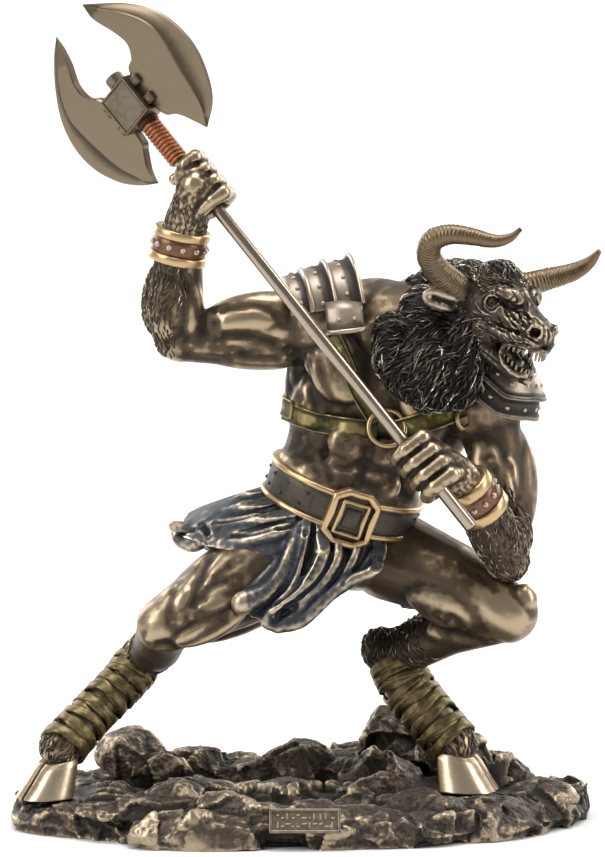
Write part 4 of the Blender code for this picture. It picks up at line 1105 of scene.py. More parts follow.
# %% Hooves
def claw(name, fetlock, ahead, ground, side, size):
    """One half of a cloven hoof."""
    aside = UP.cross(ahead)
    low = [(-6.5, 0.9), (-6.9, 5.4), (-5.6, 8.6), (-1.2, 10.3), (3.6, 10.0), (8.2, 8.4), (11.0, 5.2),
        (11.6, 2.0), (10.8, 0.7)]
    high = [(-5.5, 0.5), (-6.0, 4.0), (-4.8, 6.6), (-1.0, 7.9), (2.6, 7.4), (5.0, 6.0), (6.4, 3.8),
        (6.7, 1.6), (6.2, 0.5)]
    rings = 15
    mesh = bmesh.new()
    rows = []
    for i in range(rings):
        share = i / (rings - 1)
        level = 0.35 + 13.2 * share
        pinch = 1.0 - 0.004 * (i % 2) - (0.10 * max(0.0, share - 0.86) / 0.14)
        lean = (fetlock - ground) * (level / 17.0)
        lean.z = 0
        row = []
        for (lf, la), (hf, ha) in zip(low, high):
            f, a = lf + (hf - lf) * share, la + (ha - la) * share
            f, a = (f - 1) * pinch + 1, max(0.45, (a - 3) * pinch + 3)
            spot = ground + lean + (ahead * f + aside * a * side) * size * MM
            spot += UP * (level - 1.2 * share * f / 6) * MM
            row.append(mesh.verts.new(spot))
        rows.append(row)
    for this, following in zip(rows, rows[1:]):
        for k in range(len(this)):
            n = (k + 1) % len(this)
            mesh.faces.new((this[k], this[n], following[n], following[k]))
    mesh.faces.new(rows[0])
    mesh.faces.new(rows[-1][::-1])
    bmesh.ops.recalc_face_normals(mesh, faces=mesh.faces)
    made = softened(new_object(name, mesh), 0.35)
    made.modifiers.new("fine", "SUBSURF").levels = 2
    apply_all(made)
    return made


hooves = []
for name, fetlock, toe, foot, size in (("right", RIGHT_FETLOCK, RIGHT_TOE, RIGHT_FOOT, 1.0),
                                       ("left", LEFT_FETLOCK, LEFT_TOE, LEFT_FOOT, 1.12)):
    for side, half in ((-1, "inner"), (1, "outer")):
        hooves.append(claw(f"{name}_hoof_{half}", fetlock, toe, foot, side, size))

# %% [markdown]
# ## The head
# A bull's head on a man's neck, mouth open in a roar. Bone comes first: brow, cheek, muzzle and jaw. Then
# the wet nose with its two ringed nostrils, the lips, the lids and the wrinkles that run back along the
# muzzle. Both sides are made from one list of numbers, mirrored across the head's own middle plane.

# %% Skull, ears and jaw
def skull(clay):
    """The bull's head, mouth open."""
    clay.ball(head(3, 0, -3), (13.0, 11.6, 13), MUZZLE, HEAD_LEFT)
    clay.ball(head(2, 0, 3.4), (11, 7, 9), MUZZLE, HEAD_LEFT)
    clay.ball(at(62, -13, 195.5), (9, 7, 6.0), HEAD_UP, HEAD_LEFT)
    clay.limb((head(10, 0, -1.8), 8.4), (head(20, 0, -2.2), 5.8), (head(26.5, 0, -2.8), 4.9))
    clay.limb((head(9, 0, 2.8), 5.6), (head(18, 0, 1.4), 3.6), (head(26.5, 0, -1.3), 2.8))
    clay.ball(head(29.2, 0, -3.6), (4.6, 3.6, 3.2), MUZZLE, HEAD_LEFT)
    clay.limb((head(10, 0, -7), 5.4), (head(26, 0, -5.6), 3.8))
    for side in (-1, 1):
        def chain(*stops):
            clay.limb(*((head(f, side * left, u), r) for f, left, u, r in stops))
        chain((5.7, 9.8, 2.6, 1.9), (10.5, 7.9, 5.0, 2.2), (14.6, 5.2, 5.2, 2.6), (16.8, 3.9, 4.2, 1.9))
        chain((4.5, 10.2, -3.4, 2.4), (11.5, 9.0, -4.8, 1.9), (16.5, 7.4, -3.4, 1.6))
        chain((12, 7.0, -9.0, 4.2), (22, 5.4, -7.0, 3.4), (29, 3.0, -5.8, 3.0))
        chain((9, 8.0, -1.5, 3.6), (19, 5.4, -2.6, 3.4), (27, 3.8, -2.4, 3.0))
        clay.ball(head(27.6, side * 3.7, -2.2), (3.1, 3.1, 3.2), MUZZLE, HEAD_LEFT)
        rim = (MUZZLE * 0.74 + HEAD_LEFT * side * 0.67).normalized()
        turn = frame_along(rim)
        centre = head(29.4, side * 4.7, -1.8)
        clay.limb(*((centre + spoke(turn, math.tau * i / 14, 1, 1.12) * 2.35 * MM, 0.75) for i in range(15)))
        clay.ball(head(8, side * 7.2, -10), (5.4, 6.6, 8.0), MUZZLE, HEAD_LEFT)
        chain((19.2, 7.0, -15.4, 0.89), (18.9, 7.2, -13.0, 0.93), (20.6, 7.3, -10.4, 0.96),
            (24.4, 6.5, -8.7, 0.96),
              (29.0, 4.9, -7.6, 1.04), (31.4, 2.4, -8.0, 1.04), (32.0, 0.2, -8.2, 1.04))
        chain((19.2, 7.0, -15.4, 0.89), (21.8, 6.7, -17.8, 1.00), (25.4, 5.7, -19.0, 1.00),
            (27.4, 3.9, -19.4, 1.00),
              (28.6, 1.6, -19.0, 1.04))
        chain((4, 7.5, -13.4, 5.2), (12, 6.2, -17.2, 3.6), (20, 4.4, -19.6, 2.5), (25.2, 2.4, -20.6, 1.8))
        chain((-2.6, 11.5, -6.6, 2.2), (-5.6, 18.0, -5.8, 3.0), (-8.2, 24.6, -5.0, 0.9))
        clay.muscle(head(-1.6, side * 12, -6.2), head(-8.6, side * 25.6, -5.0), 2.0, 4.4, HEAD_UP)
    clay.limb((head(3, 0, -15), 6.2), (head(13, 0, -19.2), 3.4), (head(24, 0, -21.0), 2.2),
        (head(28.4, 0, -20.9), 1.9))
    clay.limb((head(8, 0, -14.8), 3.2), (head(15, 0, -16.0), 2.8), (head(22.5, 0, -17.6), 2.0))


def press(obj, spots):
    """Presses round hollows: (centre, outward direction, radius, depth in millimetres)."""
    points = points_of(obj)
    for centre, way, radius, depth in spots:
        offset = points - np.array(centre)
        along = offset @ np.array(way)
        aside = np.linalg.norm(offset - along[:, None] * np.array(way), axis=1) / (radius * MM)
        share = np.clip(1 - aside**4, 0, 1) * (np.abs(along) < 3.4 * MM)
        points -= np.array(way) * (share * depth * MM)[:, None]
    set_points(obj, points)


clay = Clay()
skull(clay)
bull = clay.fused("bull_head", 0.35, 6)
hollows = []
for side in (-1, 1):
    hollows.append((head(29.6, side * 4.8, -1.8), (MUZZLE * 0.74 + HEAD_LEFT * side * 0.67).normalized(),
        1.95, 3.2))
    hollows.append((head(10.0, side * 9.6, 0.4), (MUZZLE * 0.5 + HEAD_LEFT * side * 0.86).normalized(), 2.7,
        1.3))
press(bull, hollows)
print("head fused", len(bull.data.vertices))


def both(*stroke_list):
    """Head strokes given as (forward, left, up) triples, on both sides."""
    strokes = []
    for path, width, depth in stroke_list:
        for side in (-1, 1):
            strokes.append(([head(f, side * left, u) for f, left, u in path], width, depth))
    return tuple(strokes)


def circle_on_head(f, left, u, radius, facing):
    """Points round a spot of the head, in its own triples, square to facing."""
    turn = frame_along(facing)
    found = []
    for i in range(13):
        offset = spoke(turn, math.tau * i / 12) * radius
        found.append((f + offset.x, left + offset.y, u + offset.z))
    return found


FACE = both(
    ([(33, 0, 1.5), (33.6, 0, -2.0), (33.4, 0, -5.4)], 0.5, 0.5),
    (circle_on_head(10.0, 9.9, 0.4, 2.3, (0.5, 0.86, 0)), 0.4, -0.5),
    (circle_on_head(10.0, 9.9, 0.4, 3.2, (0.5, 0.86, 0)), 0.35, 0.4),
    ([(4.5, 10.8, -2.0), (8.5, 10.6, -3.8), (13.0, 9.4, -3.4)], 0.45, -0.5),
    ([(5.0, 11.0, 1.7), (9.0, 10.4, 4.0), (14.0, 8.0, 3.0)], 0.5, 0.7),
    ([(16.0, 6.4, 6.4), (17.4, 5.6, 4.6), (16.4, 6.6, 2.8), (14.6, 7.0, 3.2)], 0.45, 0.7),
    ([(14.2, 6.6, 7.2), (15.4, 6.0, 5.8), (15.0, 6.6, 4.4)], 0.4, 0.5),
    ([(8.0, 9.5, 6.2), (12.0, 8.2, 7.0)], 0.45, 0.6), ([(7.0, 10.4, 4.4), (11.0, 9.2, 5.6)], 0.4, 0.5),
    ([(9.0, 7.6, 8.2), (13.0, 6.0, 8.0), (17.0, 3.2, 6.4)], 0.5, 0.6),
    ([(17.0, 2.6, 6.0), (18.4, 3.6, 3.6), (17.0, 6.0, 0.6)], 0.5, 0.6),
    ([(18.0, 1.4, 4.6), (21.0, 3.4, 2.6), (24.5, 4.6, 1.4)], 0.42, 0.6),
    ([(19.0, 3.4, 3.6), (22.0, 4.6, 1.4), (26.0, 5.4, 0.4)], 0.4, 0.5),
    ([(18.0, 5.4, 1.6), (21.5, 5.9, -0.4), (25.6, 6.2, -1.4)], 0.42, 0.6),
    ([(15.5, 7.6, -0.6), (20.0, 6.8, -2.4), (25.0, 6.4, -3.2)], 0.42, 0.6),
    ([(14.0, 8.6, -2.4), (18.0, 7.6, -3.8), (24.6, 6.6, -4.4)], 0.4, 0.5),
    ([(13.0, 8.8, -5.4), (18.0, 7.6, -5.6), (24.0, 6.6, -5.6)], 0.42, 0.6),
    ([(9.0, 10.0, -6.4), (14.0, 8.6, -7.4), (21.0, 7.2, -6.8)], 0.42, 0.6),
    ([(5.0, 11.0, -7.4), (10.0, 10.0, -9.0), (17.0, 8.2, -9.0)], 0.42, 0.55),
    ([(16.8, 8.4, -10.4), (18.0, 8.2, -12.8), (17.4, 8.2, -15.4)], 0.5, 0.6),
    ([(14.6, 8.6, -10.0), (15.6, 8.6, -13.2), (15.0, 8.2, -16.4)], 0.45, 0.5),
    ([(20.0, 7.6, -9.4), (25.0, 6.6, -7.8), (30.0, 5.2, -6.4)], 0.45, 0.55),
    ([(27.0, 5.8, -4.4), (30.4, 5.2, -4.6), (32.0, 3.4, -5.0)], 0.45, 0.6),
    ([(31.6, 2.0, 1.2), (32.8, 2.6, -1.4), (32.8, 2.6, -4.0)], 0.4, 0.55),
    ([(27.6, 5.6, 1.6), (29.6, 6.4, 0.8), (30.2, 7.0, -1.4)], 0.4, 0.4),
    ([(6.0, 9.2, -16.0), (13.0, 8.0, -17.2), (20.0, 6.6, -18.8)], 0.45, 0.5),
    ([(9.0, 7.0, -19.0), (15.0, 5.6, -20.4), (22.0, 4.0, -21.4)], 0.45, 0.5),
    ([(-1.6, 14.0, -6.4), (-4.0, 18.6, -5.8), (-7.0, 23.4, -5.2)], 1.3, 2.2),
)
comb = random.Random(30)
wrinkles = []
for _ in range(260):
    f, left = comb.uniform(13, 28), comb.uniform(1.5, 9)
    u = comb.uniform(-8.5, 3.0) - 0.12 * (f - 14)
    run = comb.uniform(2.0, 4.5)
    drift = comb.uniform(-0.5, 0.1) * run
    for side in (-1, 1):
        stops = [head(f + run * t, side * left, u + drift * t + 0.25 * math.sin(3 * t + f))
            for t in (0, 0.5, 1)]
        wrinkles.append((stops, 0.36, comb.choice((0.44, 0.30, -0.32))))
carve(bull, FACE, 1.0, 0.85)
carve(bull, wrinkles, 1.0, 1.0)
roughen(bull, 1.3, 0.10)
thin_to(bull, 110000)

# %% [markdown]
# ## Eyes and teeth
# Small things that the clay is too coarse for. An eye starts as a ball with a pupil pressed into it. A
# tooth is a blunt cone, and rows of them stand along each lip, shorter towards the cheeks.

# %% Eyes and teeth
def eyeball(side):
    """A ball in the socket with a drilled pupil."""
    centre = head(9.2, side * 8.4, 0.4)
    bpy.ops.mesh.primitive_uv_sphere_add(segments=32, ring_count=20, radius=2.25 * MM)
    eye = bpy.context.object
    eye.name = "right_eye" if side < 0 else "left_eye"
    look = (MUZZLE * 0.56 + HEAD_LEFT * side * 0.83 + HEAD_UP * 0.02).normalized()
    for v in eye.data.vertices:
        away = math.acos(max(-1, min(1, v.co.normalized().z)))
        if away < 0.30:
            v.co *= 0.80
        elif away < 0.62:
            v.co *= 1.05
    eye.data.transform(Matrix.Translation(centre) @ frame_along(look).to_4x4())
    return eye


def tooth(place, down, length, radius):
    """A blunt peg from the gum."""
    length *= 0.9
    radius *= 0.78
    bpy.ops.mesh.primitive_cone_add(vertices=10, radius1=radius * MM, radius2=radius * 0.5 * MM,
        depth=length * MM)
    peg = bpy.context.object
    softened(peg, radius * 0.3)
    peg.data.transform(Matrix.Translation(place) @ frame_along(down).to_4x4())
    return peg


eyes = joined("eyes", [eyeball(-1), eyeball(1)])
pegs = []
for left in (-3.3, -2.0, -0.7, 0.7, 2.0, 3.3):
    pegs.append(tooth(head(31.6 - left * left * 0.14, left, -10.4), -HEAD_UP + MUZZLE * 0.1, 3.6, 0.80))
    pegs.append(tooth(head(28.8 - left * left * 0.14, left * 0.84, -17.8), HEAD_UP + MUZZLE * 0.12, 2.8,
        0.72))
for side in (-1, 1):
    for k in range(4):
        pegs.append(tooth(head(27.0 - 2.1 * k, side * (4.6 + 0.4 * k), -10.6 - 0.4 * k), -HEAD_UP, 2.2, 0.85))
        pegs.append(tooth(head(25.4 - 2.0 * k, side * (3.9 + 0.5 * k), -17.2 + 0.5 * k), HEAD_UP, 2.2, 0.85))
teeth = joined("teeth", pegs)
for peg in (teeth, eyes):
    weather(peg, 0.6)

# %% [markdown]
# ## Horns
# A horn is a circle swept along a curve while it shrinks. Real horn grows in rings, so the radius rises and
# falls dozens of times along the sweep, less and less towards the tip.

# %% Horns
def horn(name, stops, rings):
    """A horn along stops of (x, y, z, radius) in millimetres."""
    rows_count, sides = rings * 5, 24
    centres = smooth_path([at(*stop[:3]) for stop in stops], rows_count)
    radii = [v.x for v in smooth_path([Vector((stop[3], 0, 0)) for stop in stops], rows_count)]
    rows = []
    side = UP
    for i, (centre, radius) in enumerate(zip(centres, radii)):
        ahead = (centres[min(i + 1, rows_count - 1)] - centres[max(i - 1, 0)]).normalized()
        turn = frame_along(ahead, side)
        side = turn.col[0].copy()
        share = i / (rows_count - 1)
        depth = 0.30 * min(1.0, radius / 4) * (1 - share**3)
        row = []
        for k in range(sides):
            a = math.tau * k / sides
            skew = 0.35 * math.sin(a + 5 * share)
            ridge = abs(math.sin(math.pi * (i / 5 + skew)))
            uneven = 0.05 * noise.noise(centre * 900 + Vector((k, 0, 0)) * 0.4)
            r = (radius - depth * (1 - ridge) + radius * uneven) * MM
            row.append(centre + spoke(turn, a, r, r))
        rows.append(row)
    return grid_piece(name, rows)


right_horn = horn("right_horn", (
    (58.5, -16, 190.5, 5.2), (54.5, -20, 194.0, 5.1), (50.5, -24, 197.5, 4.9), (46.5, -28, 201.5, 4.6),
    (44.0, -33, 206.5, 4.3), (45.5, -38, 211.5, 4.0), (51.5, -41, 213.6, 3.6), (59.0, -43, 212.8, 3.1),
    (66.0, -45.3, 211.5, 2.4), (71.5, -47.0, 212.6, 1.6), (75.4, -48, 215.8, 0.7),
), 62)
left_horn = horn("left_horn", (
    (75, -7, 193, 4.8), (87.5, -4, 196.0, 4.1), (96.5, -6, 198.7, 3.3), (101.8, -11, 202.2, 2.3),
    (105.2, -15, 206.6, 0.9),
), 34)

# %% [markdown]
# ## Hair
# The mane is a thick core of clay under well over a thousand carved locks. One lock is a thin three-sided
# taper that hugs the skin below it, bends once or twice and ends in a point. Every lock is rooted at random
# on the core and flows away from the face, down over the chest and back over the neck, as the combed clay
# does.

# %% Locks
LOCK_RINGS = 5


def hair_on(name, skin, roots, flow, length, width, seed, lift=0.5, bend=0.9):
    """Locks on a skin. roots are points on it, and flow gives the combing direction at a point."""
    tree = skin_tree(skin)
    draw = random.Random(seed)
    mesh_points, faces = [], []
    steps = LOCK_RINGS
    for root in roots:
        spot, normal, *_ = tree.find_nearest(root)
        ahead = flow(spot)
        ahead = (ahead - ahead.dot(normal) * normal).normalized()
        ahead = (Matrix.Rotation(draw.gauss(0, 0.22), 3, normal) @ ahead).normalized()
        long = length * draw.uniform(0.7, 1.3) * MM
        wide = width * draw.uniform(0.75, 1.25) * MM
        swing = draw.uniform(-1, 1) * bend
        start = len(mesh_points)
        here = spot.copy()
        for i in range(steps):
            share = i / (steps - 1)
            near, normal, *_ = tree.find_nearest(here)
            across = ahead.cross(normal).normalized()
            rise = (lift * math.sin(math.pi * min(1.0, share * 0.8 + 0.08)) - 0.15) * MM
            body = wide * (1.0 - share**2.2) * (0.55 + 0.45 * min(1.0, share * 4)) + 0.05 * MM
            centre = near + normal * rise
            mesh_points += [centre + across * body / 2, centre + normal * body * 0.66,
                centre - across * body / 2]
            turn = swing * math.cos(share * math.pi * 1.5) * 0.9
            ahead = (Matrix.Rotation(turn * 0.45, 3, normal) @ ahead)
            ahead = (ahead - ahead.dot(normal) * normal).normalized()
            here = near + ahead * long / (steps - 1)
        for i in range(steps - 1):
            for k in range(3):
                n = (k + 1) % 3
                a, b = start + 3 * i, start + 3 * (i + 1)
                faces.append((a + k, b + k, b + n, a + n))
        faces.append((start + 2, start + 1, start))
        end = start + 3 * (steps - 1)
        faces.append((end, end + 1, end + 2))
    made = object_of(name, mesh_points, faces)
    outward(made)
    crest = np.tile([0.20, 1.0, 0.20], len(roots) * steps)
    along = np.repeat(np.tile(np.linspace(0.72, 1.14, steps), len(roots)), 3)
    tint = np.repeat([draw.choice((0.5, 0.7, 0.8, 1.0, 1.2)) for _ in roots], 3 * steps)
    set_wear_and_light(made, crest * along * tint)
    return made


def scattered(obj, gap, seed, keep):
    """Points of an object's skin about gap millimetres apart, where keep(point, normal) says so."""
    draw = np.random.default_rng(seed)
    points, normals = points_of(obj), normals_of(obj)
    step = gap * MM
    chosen, grid = [], {}
    around = [(x, y, z) for x in (-1, 0, 1) for y in (-1, 0, 1) for z in (-1, 0, 1)]
    for i in draw.permutation(len(points)):
        spot = points[i]
        if not keep(spot / MM, normals[i]):
            continue
        cell = tuple(int(c) for c in spot // step)
        others = (o for x, y, z in around for o in grid.get((cell[0] + x, cell[1] + y, cell[2] + z), ()))
        if all(np.sum((other - spot) ** 2) > step * step for other in others):
            grid.setdefault(cell, []).append(spot)
            chosen.append(Vector(spot))
    return chosen


# %% [markdown]
# The core of the mane hangs from the crown over the neck and the chest. It stays dark, so that only the
# locks on it catch light.

# %% The mane
clay = Clay()
clay.limb((at(47, -2, 177), 16.5), (at(56, -4, 182), 15.0), (head(3, 0, -6), 10.4))
clay.limb((at(42, 8, 180), 15), (at(54, 0, 187), 15.5))
clay.ball(at(47, -15, 168), (16.5, 12, 19), at(43, -28, 150) - at(48, -8, 186))
clay.limb((at(46, -20, 166), 10), (at(44, -24, 156), 6))
clay.limb((at(32, -15, 178), 6.5), (at(31, -17.5, 168), 6), (at(36, -20, 160), 5.5), (at(46, -24, 156), 5.5),
    (at(57, -22, 157), 5.5))
clay.limb((at(42, -15, 173), 9), (at(43, -14, 186), 8))
clay.limb((at(58, -17, 172), 10), (at(58, -20, 160), 7))
clay.ball(at(61, -11, 196.4), (9, 7.4, 6), HEAD_UP, HEAD_LEFT)
clay.limb((head(1, 0, 3.4), 8.4), (head(6, 0, 5.6), 4.4))
for side in (-1, 1):
    clay.muscle(head(-2, side * 9, -10), head(9, side * 7.4, -13), 5.6)
mane = clay.fused("mane_core", 0.8, 6)
roughen(mane, 2.0, 0.5)
FACE_SPOT = head(13, -2, -5)


def combed(spot):
    """Hair runs away from the face, and down where it hangs on the chest."""
    away = (spot - FACE_SPOT).normalized()
    wander = noise.noise_vector(spot * 60) * 0.75 + noise.noise_vector(spot * 170) * 0.5
    return away + Vector((0, 0, -0.35)) + wander


def in_head(p):
    """A point's place along the head's axes, in millimetres from the crown."""
    spot = Vector(p) * MM - CROWN
    return spot.dot(MUZZLE) / MM, spot.dot(HEAD_LEFT) / MM, spot.dot(HEAD_UP) / MM


def under_mane(p, normal):
    """Where the mane grows: not on the face, the ears or the bare right shoulder."""
    f, _, u = in_head(p)
    if f > 8 and u > -11:
        return False
    for side in (-1, 1):
        tip, root = head(-8.6, side * 25.6, -5.0), head(-2, side * 12, -6.2)
        if gap_to(np.array([Vector(p) * MM]), [root, tip])[0] < 4.8 * MM:
            return False
    return p[0] > 26


print("mane core", len(mane.data.vertices))
roots = scattered(mane, 1.38, 3, under_mane)
print("locks", len(roots))
mane_hair = hair_on("mane", mane, roots, combed, 6.6, 1.0, 4, 0.75, 1.5)
thin_to(mane, 13000)
dim(mane, 0.0, 0.05)

# %% [markdown]
# Shorter hair covers the poll and the cheeks. Fur grows in patches on the forearms, the raised hand, the
# hocks and the pasterns. Each patch is a test for where it grows and a direction it is combed in.

# %% Short hair and fur
def on_poll(p, n):
    """The forehead and crown, behind the brow."""
    f, _, u = in_head(p)
    return u > 3.4 and f < 9.5 + 0.35 * u


def on_cheek(p, n):
    """The cheeks, behind the mouth and below the eye."""
    f, left, u = in_head(p)
    return 5 < abs(left) < 12 and f < 15.0 + 0.2 * u and -19 < u < -4.5


def away_from(spot, grain, wild):
    """Hair that runs away from a spot, with some wandering."""
    return lambda s: (s - spot).normalized() + noise.noise_vector(s * grain) * wild


short_hair = [
    hair_on("poll_hair", bull, scattered(bull, 1.15, 8, on_poll), away_from(head(20, 0, 2), 90, 0.8),
            3.0, 0.85, 9, 0.3),
    hair_on("cheek_hair", bull, scattered(bull, 1.15, 5, on_cheek), away_from(head(22, 0, -4), 120, 0.9),
            2.8, 0.75, 6, 0.22),
]


def near_run(start, end, first, last, reach, test=None):
    """A test for points beside a stretch of limb, from first to last along it."""
    run = end - start
    length = run.length_squared

    def keep(p, n):
        spot = Vector(p) * MM
        share = (spot - start).dot(run) / length
        beside = (spot - start - run * share).length / MM
        return first < share < last and beside < reach and (test is None or test(p))
    return keep


def streaming(way, wild):
    """Hair that follows a direction, with some wandering."""
    return lambda s: way.normalized() + noise.noise_vector(s * 130) * wild


def fur_on(name, skin, gap, keep, way, wild, length, width, seed, lift=0.3):
    """A patch of fur that streams one way."""
    return hair_on(name, skin, scattered(skin, gap, seed, keep), streaming(way, wild), length, width,
        seed + 1, lift)


fur = [fur_on(*patch) for patch in (
    ("left_forearm_fur", upper, 1.5, near_run(LEFT_ELBOW, LEFT_WRIST, -0.45, 0.72, 15),
     LEFT_ELBOW - LEFT_WRIST + at(4, 0, -12), 0.7, 3.6, 0.8, 14),
    ("right_forearm_fur", upper, 1.5,
     near_run(RIGHT_ELBOW, RIGHT_WRIST, -0.12, 0.86, 15, lambda p: p[0] < -45.5 + 0.22 * (p[2] - 175)),
     at(-5, 2, -20), 0.8, 3.2, 0.75, 16),
    ("right_hand_fur", right_hand, 1.3, lambda p, n: p[2] < 233 - 0.8 * (p[0] + 52) and n[1] < 0.3,
     at(-4, -1, -12), 0.7, 2.6, 0.65, 18, 0.2),
    ("left_hock_fur", lower, 1.5, near_run(at(30, 12, 68), at(38, 9, 50), -0.25, 0.85, 17),
     at(6, 2, -16), 0.7, 3.6, 0.8, 20),
    ("right_hock_fur", lower, 1.5,
     near_run(at(-56, 6, 63), at(-64, 2, 50), -0.2, 1.0, 13, lambda p: p[1] > -6),
     at(-10, 2, -12), 0.7, 3.4, 0.8, 22),
    ("right_pastern_fur", lower, 1.3, near_run(at(-80, -8, 33), RIGHT_FETLOCK, 0.1, 1.6, 12),
     at(-5, -2, -9), 0.5, 3.4, 0.8, 24, 0.4),
    ("left_pastern_fur", lower, 1.3, near_run(at(51, 5, 32), LEFT_FETLOCK, 0.1, 1.6, 12),
     at(4, -2, -9), 0.5, 3.4, 0.8, 26, 0.4),
)]
print("fur", sum(len(piece.data.polygons) for piece in fur + short_hair), "faces")

# %% [markdown]
# ## Armour
# The raised shoulder has three overlapping lames, each a curved band with a flared bright rim and a row of
# rivets. The other has a domed cap of two layers whose lower edges come to a point. A rivet is one low
# dome, copied.

# %% Plates
def tube(name, path, radius, sides=10, closed=False, flat=1.0):
    """A round or flattened cord along a path. radius may be one number or one for each point."""
    rows = []
    count = len(path)
    side = Vector((0, 0.3, 1))
    for i, point in enumerate(path):
        after = path[(i + 1) % count] if closed else path[min(i + 1, count - 1)]
        before = path[i - 1] if closed else path[max(i - 1, 0)]
        turn = frame_along(after - before, side)
        side = turn.col[0].copy()
        r = (radius[i] if isinstance(radius, (list, tuple)) else radius) * MM
        rows.append([point + spoke(turn, math.tau * (k + 0.5) / sides, r, r * flat) for k in range(sides)])
    return grid_piece(name, rows, closed)


def ball_cap(radius, height=0.6):
    """The points and faces of one low dome, for rivets."""
    mesh = bmesh.new()
    bmesh.ops.create_uvsphere(mesh, u_segments=12, v_segments=8, radius=radius * MM)
    for v in mesh.verts:
        v.co.z *= height
    points = [v.co.copy() for v in mesh.verts]
    faces = [[v.index for v in f.verts] for f in mesh.faces]
    mesh.free()
    return points, faces


def rivets(name, places, radius, height=0.75):
    """Copies of one dome at (point, outward direction)."""
    dome, dome_faces = ball_cap(radius, height)
    points, faces = [], []
    for spot, out in places:
        turn = frame_along(out)
        start = len(points)
        points += [spot + turn @ p for p in dome]
        faces += [[start + i for i in face] for face in dome_faces]
    return object_of(name, points, faces)


# %% [markdown]
# The raised shoulder comes first: three lames along one axis, then the small flap that hangs in front of
# them.

# %% Right shoulder
plates, rims, studs = [], [], []
lame_axis = at(24, 4, 186) - at(-16, -2, 180)
lame_centre = at(5, 1, 182.5)
lame_turn = frame_along(lame_axis, UP)
for index, (start, end, first, last) in enumerate(
        ((-11, -3.2, 15.7, 17.6), (-4.2, 5.0, 17.0, 19.4), (4.3, 14.6, 17.8, 20.0))):
    rows = []
    angles = [math.radians(-80 + 160 * i / 60) for i in range(61)]
    section = [(0.0, 0.0), (0.25, 0.5), (0.5, 0.75), (0.72, 0.8), (0.86, 0.95), (0.95, 1.5), (1.0, 2.2)]
    ring = [(start + (end - start) * s, first + (last - first) * r / 2.2) for s, r in section]
    ring += [(x, y - 1.5) for x, y in ring[::-1]]
    for a in angles:
        rows.append([lame_centre + spoke(lame_turn, a, radius, radius, along) * MM for along, radius in ring])
    plates.append(grid_piece(f"right_lame_{index + 1}", rows))
    edge = [lame_centre + spoke(lame_turn, a, last, last, end) * MM for a in angles]
    rims.append(tube(f"right_lame_rim_{index + 1}", edge, 0.75, 10, False, 0.9))
    middle = start + (end - start) * 0.52
    for degrees in range(-66, 70, 22):
        a = math.radians(degrees + (6 if index == 1 else 0))
        out = spoke(lame_turn, a)
        spot = lame_centre + lame_turn @ Vector((0, 0, middle * MM))
        studs.append((spot + out * (first + (last - first) * 0.38) * MM, out))
flap_rows = []
for i in range(13):
    share = i / 12
    top = at(8 + 13 * share, -17.0 - 2.2 * math.sin(math.pi * share), 188.5 + 0.8 * math.sin(math.pi * share))
    low = at(8.5 + 13.5 * share, -21.0 - 2.4 * math.sin(math.pi * share), 177.5 + 1.4 * share)
    out = Vector((0.05, -0.95, 0.28))
    row = [top.lerp(low, t) + out * h * MM
        for t, h in ((0, 0), (0.3, 0.8), (0.6, 1.0), (0.85, 1.2), (1.0, 2.0))]
    row += [p - out * 1.6 * MM for p in row[::-1]]
    flap_rows.append(row)
plates.append(grid_piece("right_flap", flap_rows))
rims.append(tube("right_flap_rim", [r[4] for r in flap_rows], 0.9, 10))
studs.append((flap_rows[4][2], Vector((0, -1, 0.2))))
studs.append((flap_rows[9][2], Vector((0, -1, 0.2))))

# %% [markdown]
# The other shoulder's cap is given by angles from its crown. Rows of points run out from the crown over the
# upper layer, drop to the lower one and turn under its edge.

# %% Left shoulder
cap_centre = LEFT_SHOULDER + at(2, -2, 3)
cap_turn = frame_along(Vector((0.45, -0.12, 0.88)), Vector((0, -1, 0)))


def cap_point(colatitude, azimuth, out):
    """A point on the left cap, by angles in degrees from its crown and from the viewer's side."""
    c, a = math.radians(colatitude), math.radians(azimuth)
    way = cap_turn @ Vector((math.sin(c) * math.cos(a), math.sin(c) * math.sin(a), math.cos(c)))
    return cap_centre + way * (17.3 + out) * MM, way


def edge_angle(azimuth, base, point):
    """Where a layer ends: lower in a point towards the viewer."""
    turn = abs((azimuth - 8 + 180) % 360 - 180)
    return base + point * max(0.0, 1 - turn / 42)


rows = []
for k in range(120):
    azimuth = 3.0 * k
    first, second = edge_angle(azimuth, 62, 9), edge_angle(azimuth, 84, 8)
    row = []
    for share in (0.02, 0.2, 0.4, 0.6, 0.75, 0.86):
        row.append(cap_point(first * share, azimuth, 2.0)[0])
    for step, out in ((-7, 2.1), (-4.5, 2.3), (-3, 2.9), (-1.5, 2.4), (0, 3.2), (0.8, 2.6), (1.2, 0.5),
            (3, 0.5), (6, 0.6)):
        row.append(cap_point(first + step, azimuth, out)[0])
    for step, out in ((-7, 0.6), (-4.5, 0.8), (-3, 1.5), (-1.5, 0.9), (0, 1.8), (1.0, 1.4), (1.4, -2),
            (3, -6)):
        row.append(cap_point(second + step, azimuth, out)[0])
    rows.append(row)
    if k % 8 == 4:
        studs.append(cap_point(first - 16, azimuth, 1.9))
        studs.append(cap_point(first + 10, azimuth + 6, 0.5))
    if k % 12 == 2:
        studs.append(cap_point(first - 34, azimuth, 1.8))
plates.append(grid_piece("left_cap", [list(col) for col in zip(*rows)]))
shoulder_rivets = rivets("shoulder_rivets", studs, 0.85, 0.9)

# %% [markdown]
# ## Straps, rings and cuffs
# A strap is a flat profile with raised borders, laid over the carved skin: each point of it is dropped onto
# the skin it covers, so the leather bends with the chest. Rings are cords bent into circles.

